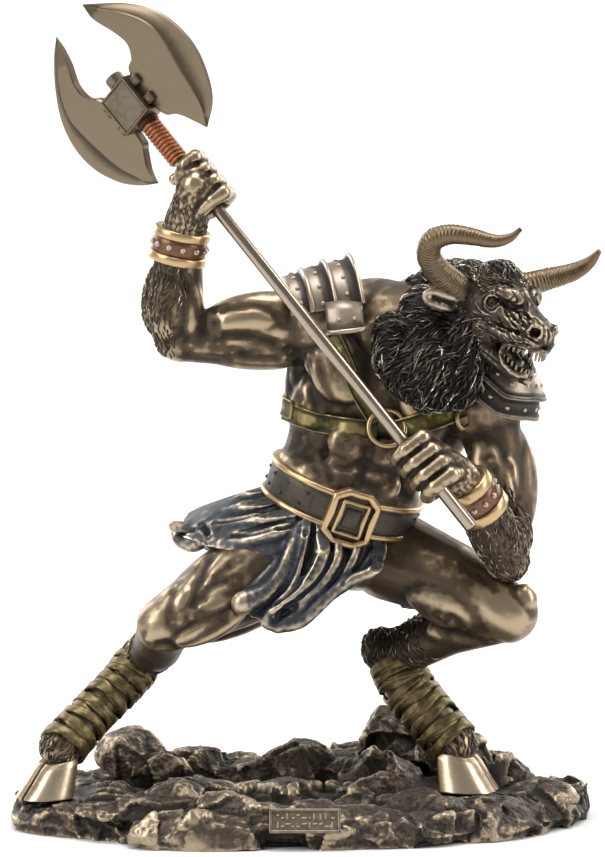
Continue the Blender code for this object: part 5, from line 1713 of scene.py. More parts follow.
# %% Straps
def strap(name, tree, path, width, thick, lift=0.7, count=60):
    """A leather strap over a skin, along pixels or points, that doesn't sink into hollows."""
    laid = smooth_path(dropped(tree, path), count)
    core = at(24, 8, 0)
    for _ in range(14):
        laid = [laid[0]] + [(a + b * 2 + c) / 4 for a, b, c in zip(laid, laid[1:], laid[2:])] + [laid[-1]]
    profile = ((-0.5, -1.6), (-0.5, 0.5), (-0.46, 0.85), (-0.41, 0.55), (-0.2, 0.55), (0, 0.58),
               (0.2, 0.55), (0.41, 0.55), (0.46, 0.85), (0.5, 0.5), (0.5, -1.6))
    rows = []
    for i, point in enumerate(laid):
        out = point - core
        out.z = 0
        out = (out.normalized() + Vector((0, 0, 0.12))).normalized()
        ahead = laid[min(i + 1, count - 1)] - laid[max(i - 1, 0)]
        across = ahead.cross(out).normalized()
        out = across.cross(ahead).normalized()
        rows.append([point + (across * width * share + out * (high * thick + lift)) * MM
            for share, high in profile])
    made = grid_piece(name, rows)
    roughen(made, 2.0, 0.14)
    return made


body_tree = skin_tree(upper)
straps = [
    strap("rib_strap", body_tree, [(287, 410), (305, 418), (327, 424), (350, 428), (375, 431)], 7.0, 1.2,
        1.3),
    strap("chest_strap", body_tree, [(336, 336), (347, 362), (358, 390), (375, 421)], 5.4, 1.2, 1.4),
    strap("breast_strap", body_tree, [(392, 431), (415, 424), (438, 416), (462, 406)], 7.8, 1.2, 1.6),
    strap("back_strap", body_tree,
          [at(-6, -5, 149), at(-9, 6, 150), at(0, 30, 154), at(26, 38, 160), at(52, 30, 162),
           at(66, 12, 158)], 6.6, 1.1, 0.7, 90),
]


def ring_at(name, spot, radius, thick, facing):
    """A ring round a spot, square to facing."""
    turn = frame_along(facing)
    path = [spot + spoke(turn, math.tau * i / 48) * radius * MM for i in range(48)]
    return tube(name, path, thick, 12, True)


small_spot = body_tree.ray_cast(EYE, sight(463, 418))[0]
rings = [
    ring_at("chest_ring", seen_at(387, 428, -18.7), 6.6, 0.80, Vector((0.1, -0.9, 0.3))),
    ring_at("breast_ring", small_spot + Vector((0, -0.0016, 0)), 3.6, 0.8, Vector((0.75, -0.6, 0.1))),
]

# %% [markdown]
# A cuff is a leather band between two gilt ones, all turned round the wrist's own axis, with studs on the
# leather.

# %% Cuffs
cuffs, cuff_bands, cuff_studs = [], [], []
for name, low, high, first, last, lean in (
    ("right", at(-45.0, -5.0, 202.4), at(-42.4, -7.4, 214.4), 9.4, 9.2, Vector((0.20, -0.16, 0.96))),
    ("left", at(64.0, -29.4, 115.4), at(57.3, -36.7, 126.8), 8.6, 8.0, Vector((-0.52, -0.40, 0.75))),
):
    turn = frame_along(lean, Vector((0, -1, 0)))
    long = (high - low).length / MM
    middle = (low + high) / 2
    low_edge = ((-0.5, -0.2), (-0.48, 0.7), (-0.45, 1.0), (-0.27, 1.0), (-0.24, 0.8), (-0.23, 0.0))
    high_edge = tuple((-share, out) for share, out in low_edge[::-1])
    leather = ((-0.26, 0.25), (-0.1, 0.4), (0.1, 0.4), (0.26, 0.25))
    for part, chosen in (("leather", leather), ("low_band", low_edge), ("high_band", high_edge)):
        section = [
            ((first + (last - first) * (share + 0.5) + out) * MM, share * long * MM)
            for share, out in (*chosen, (chosen[-1][0], -2.2), (chosen[0][0], -2.2))
        ]
        rows = [
            [middle + spoke(turn, math.tau * i / 72, radius, radius, along) for radius, along in section]
            for i in range(72)
        ]
        piece = grid_piece(f"{name}_cuff_{part}", rows, True)
        roughen(piece, 1.6, 0.16)
        (cuffs if part == "leather" else cuff_bands).append(piece)
    for i in range(12):
        out = spoke(turn, math.tau * (i + 0.35) / 12)
        cuff_studs.append((middle + out * ((first + last) / 2 + 0.5) * MM, out))
stud_piece = rivets("cuff_studs", cuff_studs, 1.15, 0.95)

# %% [markdown]
# ## Belt and buckle
# The belt is one profile swept round the waist's ellipse: black leather between two gold edges. The buckle
# is a cast frame with eight sides, a square frame inside it, and a dark plate behind both.

# %% Belt
BELT_STEPS = 160


def swept_belt(name, profile):
    """A closed profile of (out, up) in millimetres swept round the belt's ellipse."""
    rows = []
    for i in range(BELT_STEPS):
        angle = 360 * i / BELT_STEPS
        narrow = 1 - 0.32 * max(0, math.sin(math.radians(angle))) ** 2
        rows.append([around_belt(angle, out, up if up > 0 else up * narrow) for out, up in profile])
    return grid_piece(name, rows, True)


belt = swept_belt("belt", ((-3, -6.4), (0.4, -6.2), (0.8, -3), (0.9, 0), (0.8, 3), (0.4, 6.2), (-3, 6.4)))
belt_edges = [
    swept_belt(f"belt_edge_{name}", [
        (out, level + up) for out, up in ((-3, -1.1), (0.9, -1.15), (1.6, -0.8), (1.8, 0), (1.6, 0.8),
         (0.9, 1.15), (-3, 1.1))
    ]) for name, level in (("low", -6.0), ("high", 6.0))
]
roughen(belt, 2.2, 0.35)
for piece in belt_edges:
    roughen(piece, 3.0, 0.18)
belt_studs = []
for angle in range(-170, 190, 20):
    if abs(angle - 8) > 26:
        for up in ((2.4, -2.4) if angle % 40 else (0.0,)):
            spot = around_belt(angle + up, 0.9, up)
            belt_studs.append((spot, (spot - BELT_CENTRE).normalized()))
belt_rivets = rivets("belt_studs", belt_studs, 0.7, 0.9)

buckle_middle = around_belt(8, 3.0)
buckle_out = (buckle_middle - BELT_CENTRE).normalized()
buckle_turn = frame_along(buckle_out, BELT_AXIS)


def buckle_point(x, y, out):
    """A point of the buckle, in millimetres up the belt, across it and out."""
    bend = -0.010 * y * y
    return buckle_middle + buckle_turn @ Vector((x, y, out + bend)) * MM


def frame_piece(name, corners, wide, thick, out):
    """A bevelled frame through corners."""
    rows = []
    dense = []
    count = len(corners)
    for i in range(count):
        a, b = Vector(corners[i]), Vector(corners[(i + 1) % count])
        for share in (0.0, 0.12, 0.5, 0.88):
            dense.append(a.lerp(b, share))
    for i, spot in enumerate(dense):
        inward = -spot.normalized()
        row = []
        for offset, high in ((0, -1.5), (0, thick * 0.55), (0.25, thick), (wide - 0.3, thick),
                (wide, thick * 0.5), (wide, -1.5)):
            place = spot + inward * offset
            row.append(buckle_point(place.x, place.y, out + high))
        rows.append(row)
    return grid_piece(name, rows, True)


def stepped(name, corners, steps):
    """A solid whose outline shrinks in steps of (scale, height)."""
    return grid_piece(name, [[buckle_point(x * scale, y * scale, out) for x, y in corners]
        for scale, out in steps])


octagon = ((10.6, -4.6), (10.6, 4.2), (7.2, 8.8), (-6.8, 9.4), (-10.6, 5.0), (-10.6, -4.2), (-7.4, -8.8),
    (6.8, -9.2))
square = ((6.6, -5.4), (6.6, 5.0), (-6.6, 5.8), (-6.8, -5.2))
buckle = [
    frame_piece("buckle_frame", octagon, 2.6, 2.0, 0.4),
    frame_piece("buckle_inner", square, 1.9, 1.7, 0.4),
]
buckle_back = stepped("buckle_back", octagon, ((0.96, -2.5), (0.96, 0.5), (0.5, 0.7), (0.05, 0.7)))
buckle_boss = stepped("buckle_boss", square, ((0.55, -1.0), (0.55, 1.0), (0.48, 1.5), (0.05, 1.6)))

# %% [markdown]
# ## The loincloth
# Cloth in cast bronze is a thick shell. Each panel is a grid between the belt and its hem. Its own folds
# run down it and deepen as they go, and the shell is closed at the back.

# %% Panels
def panel(name, top, hem, bulge, folds, columns, levels, depth, seed, thick):
    """A folded cloth panel. folds is a list of (where across 0 to 1, width, height) crests."""
    upper_edge = smooth_path(top, columns)
    lower_edge = smooth_path(hem, columns)
    middle = at(14, 4, 95)
    front = []
    for level in range(levels):
        v = level / (levels - 1)
        row = []
        for k in range(columns):
            u = k / (columns - 1)
            point = upper_edge[k].lerp(lower_edge[k], v)
            out = point - middle
            out.z = 0
            out.normalize()
            wave = 0.0
            for where, wide, high in folds:
                lean = where + 0.05 * math.sin(4 * v + where * 9)
                away = abs(u - lean) / wide
                wave += high * max(0.0, 1 - away) ** 1.5 * (0.25 + 0.75 * v) ** 0.8
            ripple = noise.noise(Vector((u * 30, v * 2.2, seed))) * depth * (0.4 + 0.6 * v)
            lift = bulge * math.sin(math.pi * min(1.0, v * 1.04)) ** 0.8 + wave + ripple
            row.append(point + out * lift * MM)
        front.append(row)
    back = [[p - (p - middle).normalized() * thick * MM for p in row] for row in front]
    rows = [f + b[::-1] for f, b in zip(front, back)]
    return grid_piece(name, rows)


hip_top = [around_belt(angle, -0.4, -6) for angle in (-128, -100, -78, -52, -30)]
hip_hem = [at(-42, 20, 109), at(-44, 8, 107), at(-43, -6, 105), at(-37, -14, 102), at(-24, -22, 100),
    at(-6, -26, 99)]
front_top = [around_belt(angle, -0.4, -6) for angle in (-46, -22, 0, 22, 46)]
front_hem = [at(-24, -28, 84), at(-20, -31, 79), at(-10, -33, 75.5), at(0, -33, 77), at(10, -31, 84),
    at(28, -24, 94)]
back_top = [around_belt(angle, -0.4, -6) for angle in (-122, -150, -180, -215, -250)]
back_hem = [at(-40, 26, 100), at(-24, 33, 84), at(-6, 36, 76), at(16, 36, 78), at(34, 32, 82)]
comb = random.Random(12)


def crests(count, low, high):
    """Folds spread across a panel, uneven in width and height."""
    found = []
    for k in range(count):
        where = (k + 0.5 + comb.uniform(-0.25, 0.25)) / count
        found.append((where, comb.uniform(0.35, 0.62) / count * 1.6, comb.uniform(low, high)))
    return found


def fold(clay, *stops):
    """One thick crest of cloth through (pixel x, pixel y, depth, radius)."""
    depths = [stop[2] + (5.4 if k == 0 else 2.0) for k, stop in enumerate(stops)]
    path = smooth_path([seen_at(stop[0], stop[1], depth) for stop, depth in zip(stops, depths)],
        4 * len(stops))
    radii = np.interp(np.linspace(0, len(stops) - 1, len(path)), range(len(stops)),
        [stop[3] for stop in stops])
    clay.limb(*zip(path, radii * 1.32))


# %% [markdown]
# Three thin panels give the cloth its extent, and thick crests traced from the picture give it its folds.
# The whole is fused, drawn in under the belt and carved between the crests.

# %% The loincloth
clay = Clay()
for piece in (
    panel("hip", hip_top, hip_hem, 4, crests(8, 0.3, 0.9), 90, 50, 0.5, 3, 2.2),
    panel("front", front_top, front_hem, 2, crests(8, 0.3, 0.9), 90, 50, 0.5, 7, 2.2),
    panel("back", back_top, back_hem, 5, crests(11, 1.4, 3.6), 110, 50, 0.9, 11, 2.2),
):
    clay.take(piece)
for stops in (
    ((300, 526, -24, 1.6), (278, 532, -25, 2.0), (252, 540, -23, 2.1), (231, 545, -19, 2.3),
     (213, 541, -15, 2.7)),
    ((292, 512, -23, 1.5), (263, 519, -20, 2.1), (238, 525, -15, 2.3), (217, 528, -11, 2.6)),
    ((272, 498, -19, 1.4), (246, 508, -12, 2.1), (226, 515, -6, 2.3), (208, 519, -2, 2.5)),
    ((262, 488, -8, 1.4), (240, 501, -1, 2.0), (222, 511, 4, 2.1), (202, 519, 8, 2.2)),
    ((210, 519, -3, 2.0), (197, 527, -5, 1.7), (184, 527, -3, 1.6), (174, 526, 0, 1.7)),
    ((206, 524, 8, 2.0), (190, 530, 9, 1.6), (175, 533, 6, 1.4)),
    ((207, 541, -9, 1.6), (193, 546, -2, 1.9), (179, 541, 3, 1.6), (176, 533, 4, 1.4)),
    ((286, 548, -27, 1.2), (272, 568, -29, 1.4), (255, 586, -31, 1.5), (243, 597, -32, 1.5)),
    ((298, 524, -25, 1.4), (292, 546, -28, 1.7), (283, 570, -31, 2.0), (268, 590, -33, 2.4),
     (243, 603, -35, 3.3)),
    ((307, 512, -20, 1.0), (306, 530, -25, 1.3), (301, 550, -29, 1.5), (294, 578, -32, 1.5),
     (281, 598, -33, 1.4), (266, 612, -33, 1.3)),
    ((320, 515, -22, 1.0), (321, 532, -26, 1.4), (323, 552, -30, 2.1), (314, 575, -32, 2.2),
     (298, 590, -33, 1.8), (284, 600, -34, 1.6)),
    ((284, 600, -34, 1.6), (277, 608, -34, 1.9), (267, 621, -33, 2.0), (275, 626, -33, 1.8)),
    ((338, 525, -21, 1.0), (338, 544, -26, 1.2), (336, 560, -30, 1.6), (322, 582, -32, 1.7),
     (306, 598, -33, 1.6), (298, 612, -32, 1.8)),
    ((358, 525, -19, 1.0), (357, 548, -25, 1.1), (350, 565, -28, 1.4), (336, 580, -30, 1.4),
     (320, 594, -32, 1.4)),
    ((398, 522, -16, 1.0), (394, 538, -22, 1.2), (388, 553, -26, 1.5), (374, 570, -29, 1.6),
     (352, 580, -31, 1.6), (334, 592, -32, 1.7), (319, 606, -33, 1.8), (300, 622, -33, 1.9),
     (278, 627, -33, 1.9)),
):
    fold(clay, *stops)
loincloth = clay.fused("loincloth", 0.52, 13)
waist, axis = np.array(BELT_CENTRE), np.array(BELT_AXIS)
offset = points_of(loincloth) - waist
up = offset @ axis
flat = offset - up[:, None] * axis
spread = np.hypot(flat @ np.array(BELT_SIDE) / BELT_REACH, flat @ np.array(BELT_FRONT) / BELT_DEPTH)
allowed = 1.0 + np.clip(-5.4 - up / MM, 0, None) * 0.07
share = np.minimum(1, allowed / np.maximum(spread, 0.01))
set_points(loincloth, waist + up[:, None] * axis + flat * share[:, None])
carve(loincloth, [
    ([(300, 519), (285, 528), (255, 533), (228, 536)], 0.7, 1.2),
    ([(283, 505), (255, 514), (232, 520), (214, 522)], 0.7, 1.1),
    ([(288, 522), (262, 526), (240, 531)], 0.35, 0.5),
    ([(306, 532), (299, 560), (288, 584), (268, 602)], 0.7, 1.0),
    ([(313, 530), (310, 555), (303, 578), (290, 594), (272, 606)], 0.6, 1.0),
    ([(330, 535), (331, 558), (319, 580), (300, 598)], 0.6, 1.0),
    ([(348, 545), (342, 570), (326, 589)], 0.5, 0.9),
    ([(370, 546), (360, 566), (342, 584)], 0.5, 0.8), ([(292, 608), (284, 612), (274, 618)], 1.3, 2.2),
    ([(318, 556), (309, 574), (297, 586)], 0.35, -0.4), ([(312, 540), (316, 552)], 0.4, -0.5),
    ([(186, 531), (196, 529)], 0.9, 1.6), ([(201, 524), (206, 531), (208, 536)], 0.9, 1.8),
], 1.2, 1.0)
roughen(loincloth, 1.8, 0.10)
thin_to(loincloth, 95000)
weather(loincloth, 1.5)
print("cloth", len(loincloth.data.polygons))

# %% [markdown]
# ## Leather strips round the shins
# Each shin is wound with flat strips that cross each other, from hock to hoof. A strip is a flattened cord;
# the second layer is wound the other way.

# %% Shin wraps
STRIP = (
    (-1.2, -0.97), (0.25, -1.0), (0.55, -0.86), (0.52, -0.3), (0.5, 0.3), (0.55, 0.86), (0.25, 1.0),
    (-1.2, 0.97),
)


def wound(name, line, turns, lean, seed):
    """Strips wound round a shin, tilted and overlapping. line is (x, y, z, radius) down the shin."""
    draw = random.Random(seed)
    middles = smooth_path([at(x, y, z) for x, y, z, _ in line], 60)
    radii = np.interp(np.linspace(0, len(line) - 1, 60), range(len(line)), [stop[3] for stop in line])
    strips = []
    for k in range(turns):
        i = int(59 * (k + 0.4) / turns)
        axis = middles[min(i + 1, 59)] - middles[max(i - 1, 0)]
        tilt = (lean if k % 2 else -lean * 0.7) + draw.uniform(-0.07, 0.07)
        if k % 4 == 2:
            tilt *= 2.0
        turn = frame_along(axis, Vector((0, -1, 0))) @ Matrix.Rotation(tilt, 3, "Y")
        turn = turn @ Matrix.Rotation(draw.uniform(-0.15, 0.15), 3, "X")
        wide = draw.uniform(1.4, 1.85)
        high = 0.25 + (0.45 if k % 2 else 0.0) + (0.4 if k % 4 == 2 else 0.0)
        rows = []
        for j in range(56):
            a = math.tau * j / 56
            around, along = spoke(turn, a), turn @ UP
            spot = middles[i] + around * (radii[i] + high) * MM
            wobble = 1 + 0.10 * math.sin(3 * a + k)
            row = []
            for out, up in STRIP:
                row.append(spot + around * out * MM + along * up * wide * wobble * MM)
            rows.append(row)
        strips.append(grid_piece(f"{name}_{k}", rows, True))
    made = joined(name, strips)
    roughen(made, 1.3, 0.14)
    return made


right_wrap = wound("right_wrap", (
    (-60, 4.6, 55.5, 7.8), (-65.5, 1, 49, 7.4), (-77, -6, 38, 7.2), (-86.5, -12.2, 28, 8.0)), 18, 0.24, 3)
left_wrap = wound("left_wrap", (
    (34, 10.6, 56, 9.4), (38, 9, 47, 9.0), (46, 6, 37, 8.5), (55.5, 2.0, 26, 8.8)), 18, 0.24, 5)

# %% [markdown]
# ## The axe
# Two ground blades, a square socket with four lugs, a finial, and a sleeve bound with copper cord. A blade
# is a grid from its inner curve to its cutting edge, flat first and then bevelled down to a thin edge.

# %% Axe head
HEAD_SIDE = AXE_AXIS.cross(BLADE_SIDE).normalized()


def axe_point(x, y, out):
    """A point of the axe head in millimetres from its centre: x towards one blade, y up the shaft."""
    return AXE_TOP + (BLADE_SIDE * x + AXE_AXIS * y + HEAD_SIDE * out) * MM


def smooth_curve(stops, count):
    """Points evenly spread over a smooth curve through (x, y) stops."""
    return [(p.x, p.y) for p in smooth_path([Vector((x, y, 0)) for x, y in stops], count)]


def axe_blade(name, inner_stops, edge_stops, count=70):
    inner = smooth_curve(inner_stops, count)
    edge = smooth_curve(edge_stops, count)
    rows = []
    for (x0, y0), (x1, y1) in zip(inner, edge):
        span = math.hypot(x1 - x0, y1 - y0)
        grow = min(1.0, 0.12 + span / 9)
        front, back = [], []
        for share, thick in ((0.0, 1.35), (0.03, 1.8), (0.3, 1.78), (0.60, 1.7), (0.66, 1.62), (0.70, 1.3),
                (0.85, 0.85), (0.97, 0.42), (1.0, 0.16)):
            x, y = x0 + (x1 - x0) * share, y0 + (y1 - y0) * share
            front.append(axe_point(x, y, thick * grow))
            back.append(axe_point(x, y, -thick * grow))
        rows.append(front + back[::-1])
    return grid_piece(name, rows)


right_blade = axe_blade("axe_blade_right", (
    (18.6, -27.0), (16.5, -21.5), (13, -15.8), (8.6, -11.7), (6.0, 0), (8.8, 9.3), (12.4, 11), (15, 15.8),
    (13.6, 22.6), (10.4, 30.9), (9.6, 38.8),
), (
    (18.8, -27.2), (27.2, -22.8), (32.4, -16.4), (36.4, -6.3), (36.6, 4.0), (33.2, 15.2), (24.2, 26.8),
    (9.8, 39.0),
))
left_blade = axe_blade("axe_blade_left", (
    (-13.6, -26.4), (-12.4, -20.6), (-8.6, -15.1), (-6.4, -12.0), (-6.0, 0), (-9.5, 10.3), (-14, 14.7),
    (-14.5, 21.4), (-11.7, 27.8), (-9.4, 34.3), (-8.6, 39.2),
), (
    (-13.4, -26.6), (-20.2, -22), (-27, -14.8), (-32.3, -4.2), (-33.4, 7.1), (-30.2, 18), (-22.9, 27.9),
    (-14.4, 35.7), (-8.5, 39.4),
))


def bevelled_block(name, middle, size, soft):
    """A box on the axe head's axes with rounded edges."""
    a, b, c = middle
    return block(name, size, soft, 3, lambda x, y, z: axe_point(a + x, b + y, c + z))


socket_parts = [
    bevelled_block("socket_body", (0, 0, 0), (14.6, 15.8, 10.0), 0.8),
    bevelled_block("socket_face", (0, 0, 0), (12.6, 13.8, 11.2), 0.25),
]
for x, y, long, tall in ((0, 7.4, 14.8, 0.8), (0, -7.4, 14.8, 0.8), (6.9, 0, 0.8, 15.6),
        (-6.9, 0, 0.8, 15.6)):
    socket_parts.append(bevelled_block("socket_edge", (x, y, 0), (long, tall, 11.6), 0.25))
for side in (-1, 1):
    for level in (-1, 1):
        socket_parts.append(bevelled_block("lug", (side * 8.9, level * 4.2, 0), (3.6, 3.8, 7.0), 0.6))
        socket_parts.append(bevelled_block("lug_cap", (side * 9.0, level * 4.2, 0), (2.4, 2.6, 7.8), 0.4))
axe_line = frame_along(AXE_AXIS, BLADE_SIDE)


def round_shaft(radius, height, angle):
    """A point round the shaft's line, its height in millimetres from the axe head's centre."""
    return AXE_TOP + AXE_AXIS * height * MM + spoke(axe_line, angle) * radius * MM


def turned_on_axe(name, profile, sides=32):
    """A profile of (radius, height) in millimetres turned round the shaft's line."""
    rows = []
    for radius, height in profile:
        rows.append([round_shaft(radius, height, math.tau * i / sides) for i in range(sides)])
    return grid_piece(name, rows)


socket_parts.append(turned_on_axe("finial", (
    (2.4, 6.0), (2.6, 8.6), (3.3, 9.0), (3.4, 9.4), (3.4, 12.2), (3.1, 12.7), (2.2, 12.8), (0.4, 12.6)), 12))
socket = joined("axe_socket", socket_parts)
CORD_TURNS, TURN_STEPS = 11, 22
cord_steps = CORD_TURNS * TURN_STEPS
cord_path = [
    round_shaft(3.05, -9.4 - 17.6 * i / cord_steps, math.tau * i / TURN_STEPS) for i in range(cord_steps + 1)
]
cord = tube("sleeve_cord", cord_path, 0.82, 8)
sleeve = turned_on_axe("sleeve", (
    (2.5, -27.6), (3.3, -27.4), (3.4, -27.0), (2.9, -26.6), (2.9, -10.2), (4.0, -9.8), (4.1, -8.2),
    (2.5, -7.6),
))
reach = (AXE_TOP - SHAFT_BUTT).length / MM
shaft = turned_on_axe("shaft", ((1.9, -reach), (2.4, 0.4 - reach), (2.4, -28.0), (2.4, -4.2)))

# %% [markdown]
# ## The base
# A wavy oval slab heaped with broken rock, all one casting. Each stone is the hull of a few points. The
# stones are fused with the slab, then the surface is broken into small tilted facets and roughened at three
# grains.

# %% The stones
BASE_LONG, BASE_DEEP, PAD = 213.6, 122.0, 10.4
RIM_GAP = 0.0002


def base_outline(count):
    """Points round the base's broken rim, counter-clockwise from the left, as shares of its half-sizes."""
    corners = (
        (-105.9, -8), (-99, -26), (-84, -36), (-68, -40), (-56, -54), (-37, -59.5), (-22, -61), (-13, -54.5),
        (10, -55), (30, -56), (47, -53.5), (61, -44), (77, -38), (92, -22), (105.9, 3), (99, 25), (78, 41),
        (50, 55), (18, 60), (-20, 61), (-52, 53), (-82, 41), (-100, 17), (-105.9, -8),
    )
    path = smooth_path([Vector((x / 105.9, y / 61.0, 0)) for x, y in corners], count + 1)
    return [(max(-1, min(1, p.x)), max(-1, min(1, p.y))) for p in path[:-1]]


def rock(clay, seed, x, y, size, top, flat=1.0):
    """An angular stone: the hull of points scattered over a squashed ball, standing on the base."""
    draw = random.Random(seed)
    long, deep = size
    stone = bmesh.new()
    sink = 14.0 if flat < 1 else 5.0
    height = (top - PAD) + sink
    for _ in range(15):
        turn, rise = draw.uniform(0, math.tau), draw.uniform(-0.6, 1.0)
        spread = math.sqrt(max(0.05, 1 - rise * rise * flat))
        offset = (math.cos(turn) * long * spread, math.sin(turn) * deep * spread)
        level = PAD - sink + height * (rise + 0.6) / 1.6
        stone.verts.new(at(x + offset[0], y + offset[1], level))
    hull_only(stone)
    clay.add(stone)


def rocks(clay):
    """The outcrops behind the hooves, between them, and the flat ledges at the front."""
    outcrops = (
        (1, -62, 20, (14, 12), 30), (2, -50, 12, (12, 10), 24), (3, -38, 24, (16, 14), 24),
        (4, -22, 18, (17, 14), 20), (5, -3, 22, (18, 16), 25), (6, 18, 20, (16, 15), 22),
        (7, 30, 10, (15, 13), 26), (8, 42, 26, (20, 16), 36), (9, 34, 30, (12, 12), 40),
        (10, 60, 24, (16, 14), 26), (11, 74, 10, (12, 12), 21), (12, 24, -12, (15, 11), 18),
        (13, -8, -12, (20, 12), 15), (14, -40, -16, (20, 12), 17), (15, -30, -36, (20, 12), 16),
        (16, 44, -30, (22, 13), 16), (17, 70, -24, (18, 12), 15), (18, 4, -40, (14, 8), 14),
        (19, -64, -38, (18, 10), 13), (20, 88, -4, (13, 16), 14), (21, -86, 14, (12, 18), 15),
        (22, 20, 42, (26, 12), 22), (23, -34, 42, (28, 12), 18), (24, 66, 38, (18, 10), 17),
    )
    for seed, x, y, size, top in outcrops:
        rock(clay, seed, x, y, size, top)
    draw = random.Random(5)
    placed = 0
    while placed < 34:
        x, y = draw.uniform(-0.82, 0.82), draw.uniform(-0.80, 0.80)
        spot = at(x * BASE_LONG / 2, y * BASE_DEEP / 2, PAD)
        size = draw.uniform(9, 17)
        near = min((spot - foot).length for foot in (RIGHT_FOOT, LEFT_FOOT))
        if x * x + y * y > 0.75 or near < (11 + size) * MM:
            continue
        front_heap = 3.0 if -0.6 < x < 0.1 and y < -0.4 else 0
        rise = draw.uniform(1.5, 4.5) + front_heap
        rock(clay, 200 + placed, x * BASE_LONG / 2, y * BASE_DEEP / 2, (size, size * 0.8), PAD + rise)
        placed += 1
    for k, (x, y) in enumerate(base_outline(38)):
        size = draw.uniform(6, 12)
        x *= BASE_LONG / 2 - size * 0.93
        y *= BASE_DEEP / 2 - size * 0.93
        rock(clay, 100 + k, x, y, (size, size), draw.uniform(10.0, 15.5), 0.5)


clay = Clay()
for behind_plate in (
    (300, 1, -49, (22, 9), 13.0), (303, -8, -54, (12, 6.6), 11.5), (304, 9, -54, (12, 6.6), 11.0),
    (305, 1, -55, (17, 6.0), 9.0), (306, -6, -52.5, (15, 9.5), 6.0), (307, 8, -52.5, (15, 9.5), 5.5),
    (301, -12, -48, (14, 9), 13.5), (302, 14, -48, (14, 9), 12.5),
):
    rock(clay, *behind_plate)
slab_rows = []
for inset, level in ((1.0, 0.0), (1.0, 2.2), (1.02, 8.5 * 0.45), (0.95, 8.5), (0.87, 11.0)):
    slab_rows.append([at(x * BASE_LONG / 2 * inset, y * BASE_DEEP / 2 * inset, level)
        for x, y in base_outline(92)])
clay.take(grid_piece("slab", slab_rows))
rocks(clay)
ground = clay.fused("ground", 0.66, 4)


# %% [markdown]
# The fused heap gets its broken faces here, flat pads under the hooves and a flat underside. Its wear is
# broken up by a slow noise, since no hand rubs rock evenly.

# %% The surface of the rock
def chisel(obj, count, tilt, seed):
    """Breaks a surface into small flat facets: each patch round a random point is tilted its own way."""
    draw = np.random.default_rng(seed)
    points, normals = points_of(obj), normals_of(obj)
    chosen = draw.choice(len(points), count, replace=False)
    tree = KDTree(count)
    for k, i in enumerate(chosen):
        tree.insert(points[i], k)
    tree.balance()
    patch = np.array([tree.find(p)[1] for p in points])
    lean = draw.normal(0, tilt, (count, 3))
    shift = np.einsum("ij,ij->i", points - points[chosen][patch], lean[patch])
    set_points(obj, points + normals * np.clip(shift, -1.6 * MM, 1.6 * MM)[:, None])


def level_pads(obj):
    """Keeps the rock flat where the hooves stand, and its underside on the floor."""
    points = points_of(obj)
    for foot in (RIGHT_FOOT, LEFT_FOOT):
        gap = np.hypot(points[:, 0] - foot.x, points[:, 1] - foot.y) / MM
        share = np.clip((19 - gap) / 6, 0, 1)
        level = points[:, 2]
        pressed = level * (1 - share) + np.minimum(level, PAD * MM) * share
        points[:, 2] = np.where(level > 6 * MM, pressed, level)
    half_long, half_deep = BASE_LONG / 2 * MM, BASE_DEEP / 2 * MM
    for axis, half in ((0, half_long - RIM_GAP), (1, half_deep - RIM_GAP)):
        inner = half * 0.95
        past = np.maximum(np.abs(points[:, axis]) - inner, 0)
        drawn = inner + (half - inner) * (1 - np.exp(-past / (half - inner)))
        points[:, axis] = np.where(past > 0, np.sign(points[:, axis]) * drawn, points[:, axis])
    points[:, 2] = np.maximum(points[:, 2], 0)
    set_points(obj, points)


chisel(ground, 80, 0.16, 1)
chisel(ground, 320, 0.07, 2)
set_points(ground, relaxed(points_of(ground), *edges_of(ground), 2))
for grain, depth in ((5.0, 0.45), (2.0, 0.24), (1.0, 0.22)):
    roughen(ground, grain, depth)
level_pads(ground)
thin_to(ground, 160000)
weather(ground, 2.4)
broad = [noise.noise(Vector(p) * 45) + 0.6 * noise.noise(Vector(p) * 130) for p in points_of(ground)]
set_wear_and_light(ground, wear_and_light_of(ground) + 0.22 * np.array(broad))
print("rock", len(ground.data.polygons))

# %% [markdown]
# ## The name plate
# A tilted tablet let into the front of the rock: a slab with a raised frame, and two rows of short raised
# strokes inside it. A stroke is a small bevelled block, upright or level.

# %% Name plate
plate_low, plate_high = seen_at(305, 833, -61.0), seen_at(305, 810, -56.5)
plate_turn = frame_along(Vector((0, -0.93, 0.36)), Vector((1, 0, 0)))
plate_middle = (plate_low + plate_high) / 2 + at(0, 0.6, 0)


def tablet(name, x, y, long, tall, thick, out, soft=0.25):
    """A bevelled block on the plate, in millimetres from its middle."""
    def place(a, b, c):
        return plate_middle + plate_turn @ Vector((x + a, y + b, out + c)) * MM
    return block(name, (long, tall, thick), soft, 2, place)


plate = joined("name_plate", [
    tablet("plate_body", 0, 0, 24.5, 8.4, 3.0, -1.3),
    tablet("plate_top", 0, 3.8, 24.9, 0.9, 1.2, 0.3), tablet("plate_foot", 0, -3.8, 24.9, 0.9, 1.2, 0.3),
    tablet("plate_left", -12.0, 0, 0.9, 8.4, 1.2, 0.3), tablet("plate_right", 12.0, 0, 0.9, 8.4, 1.2, 0.3),
])
score = random.Random(21)
bars = []
across = -9.8
while across < 9.6:
    long = score.uniform(0.7, 1.6)
    for y in (1.5, -1.5):
        if score.random() < 0.5:
            bars.append(tablet("plate_stroke", across + 0.4, y, 0.55, 2.1, 0.9, 0.25, 0.12))
        else:
            level = y + score.choice((-0.5, 0.4))
            bars.append(tablet("plate_stroke", across + long / 2, level, long, 0.55, 0.9, 0.25, 0.12))
    across += long + 0.75
plate_strokes = joined("plate_strokes", bars)

# %% [markdown]
# ## Dressing the figure
# Every piece gets the finish it has on the real object and the material slot of the part it belongs to. The
# figure, the axe head, the shaft and the rock take the places of the four solids that the frame loaded.

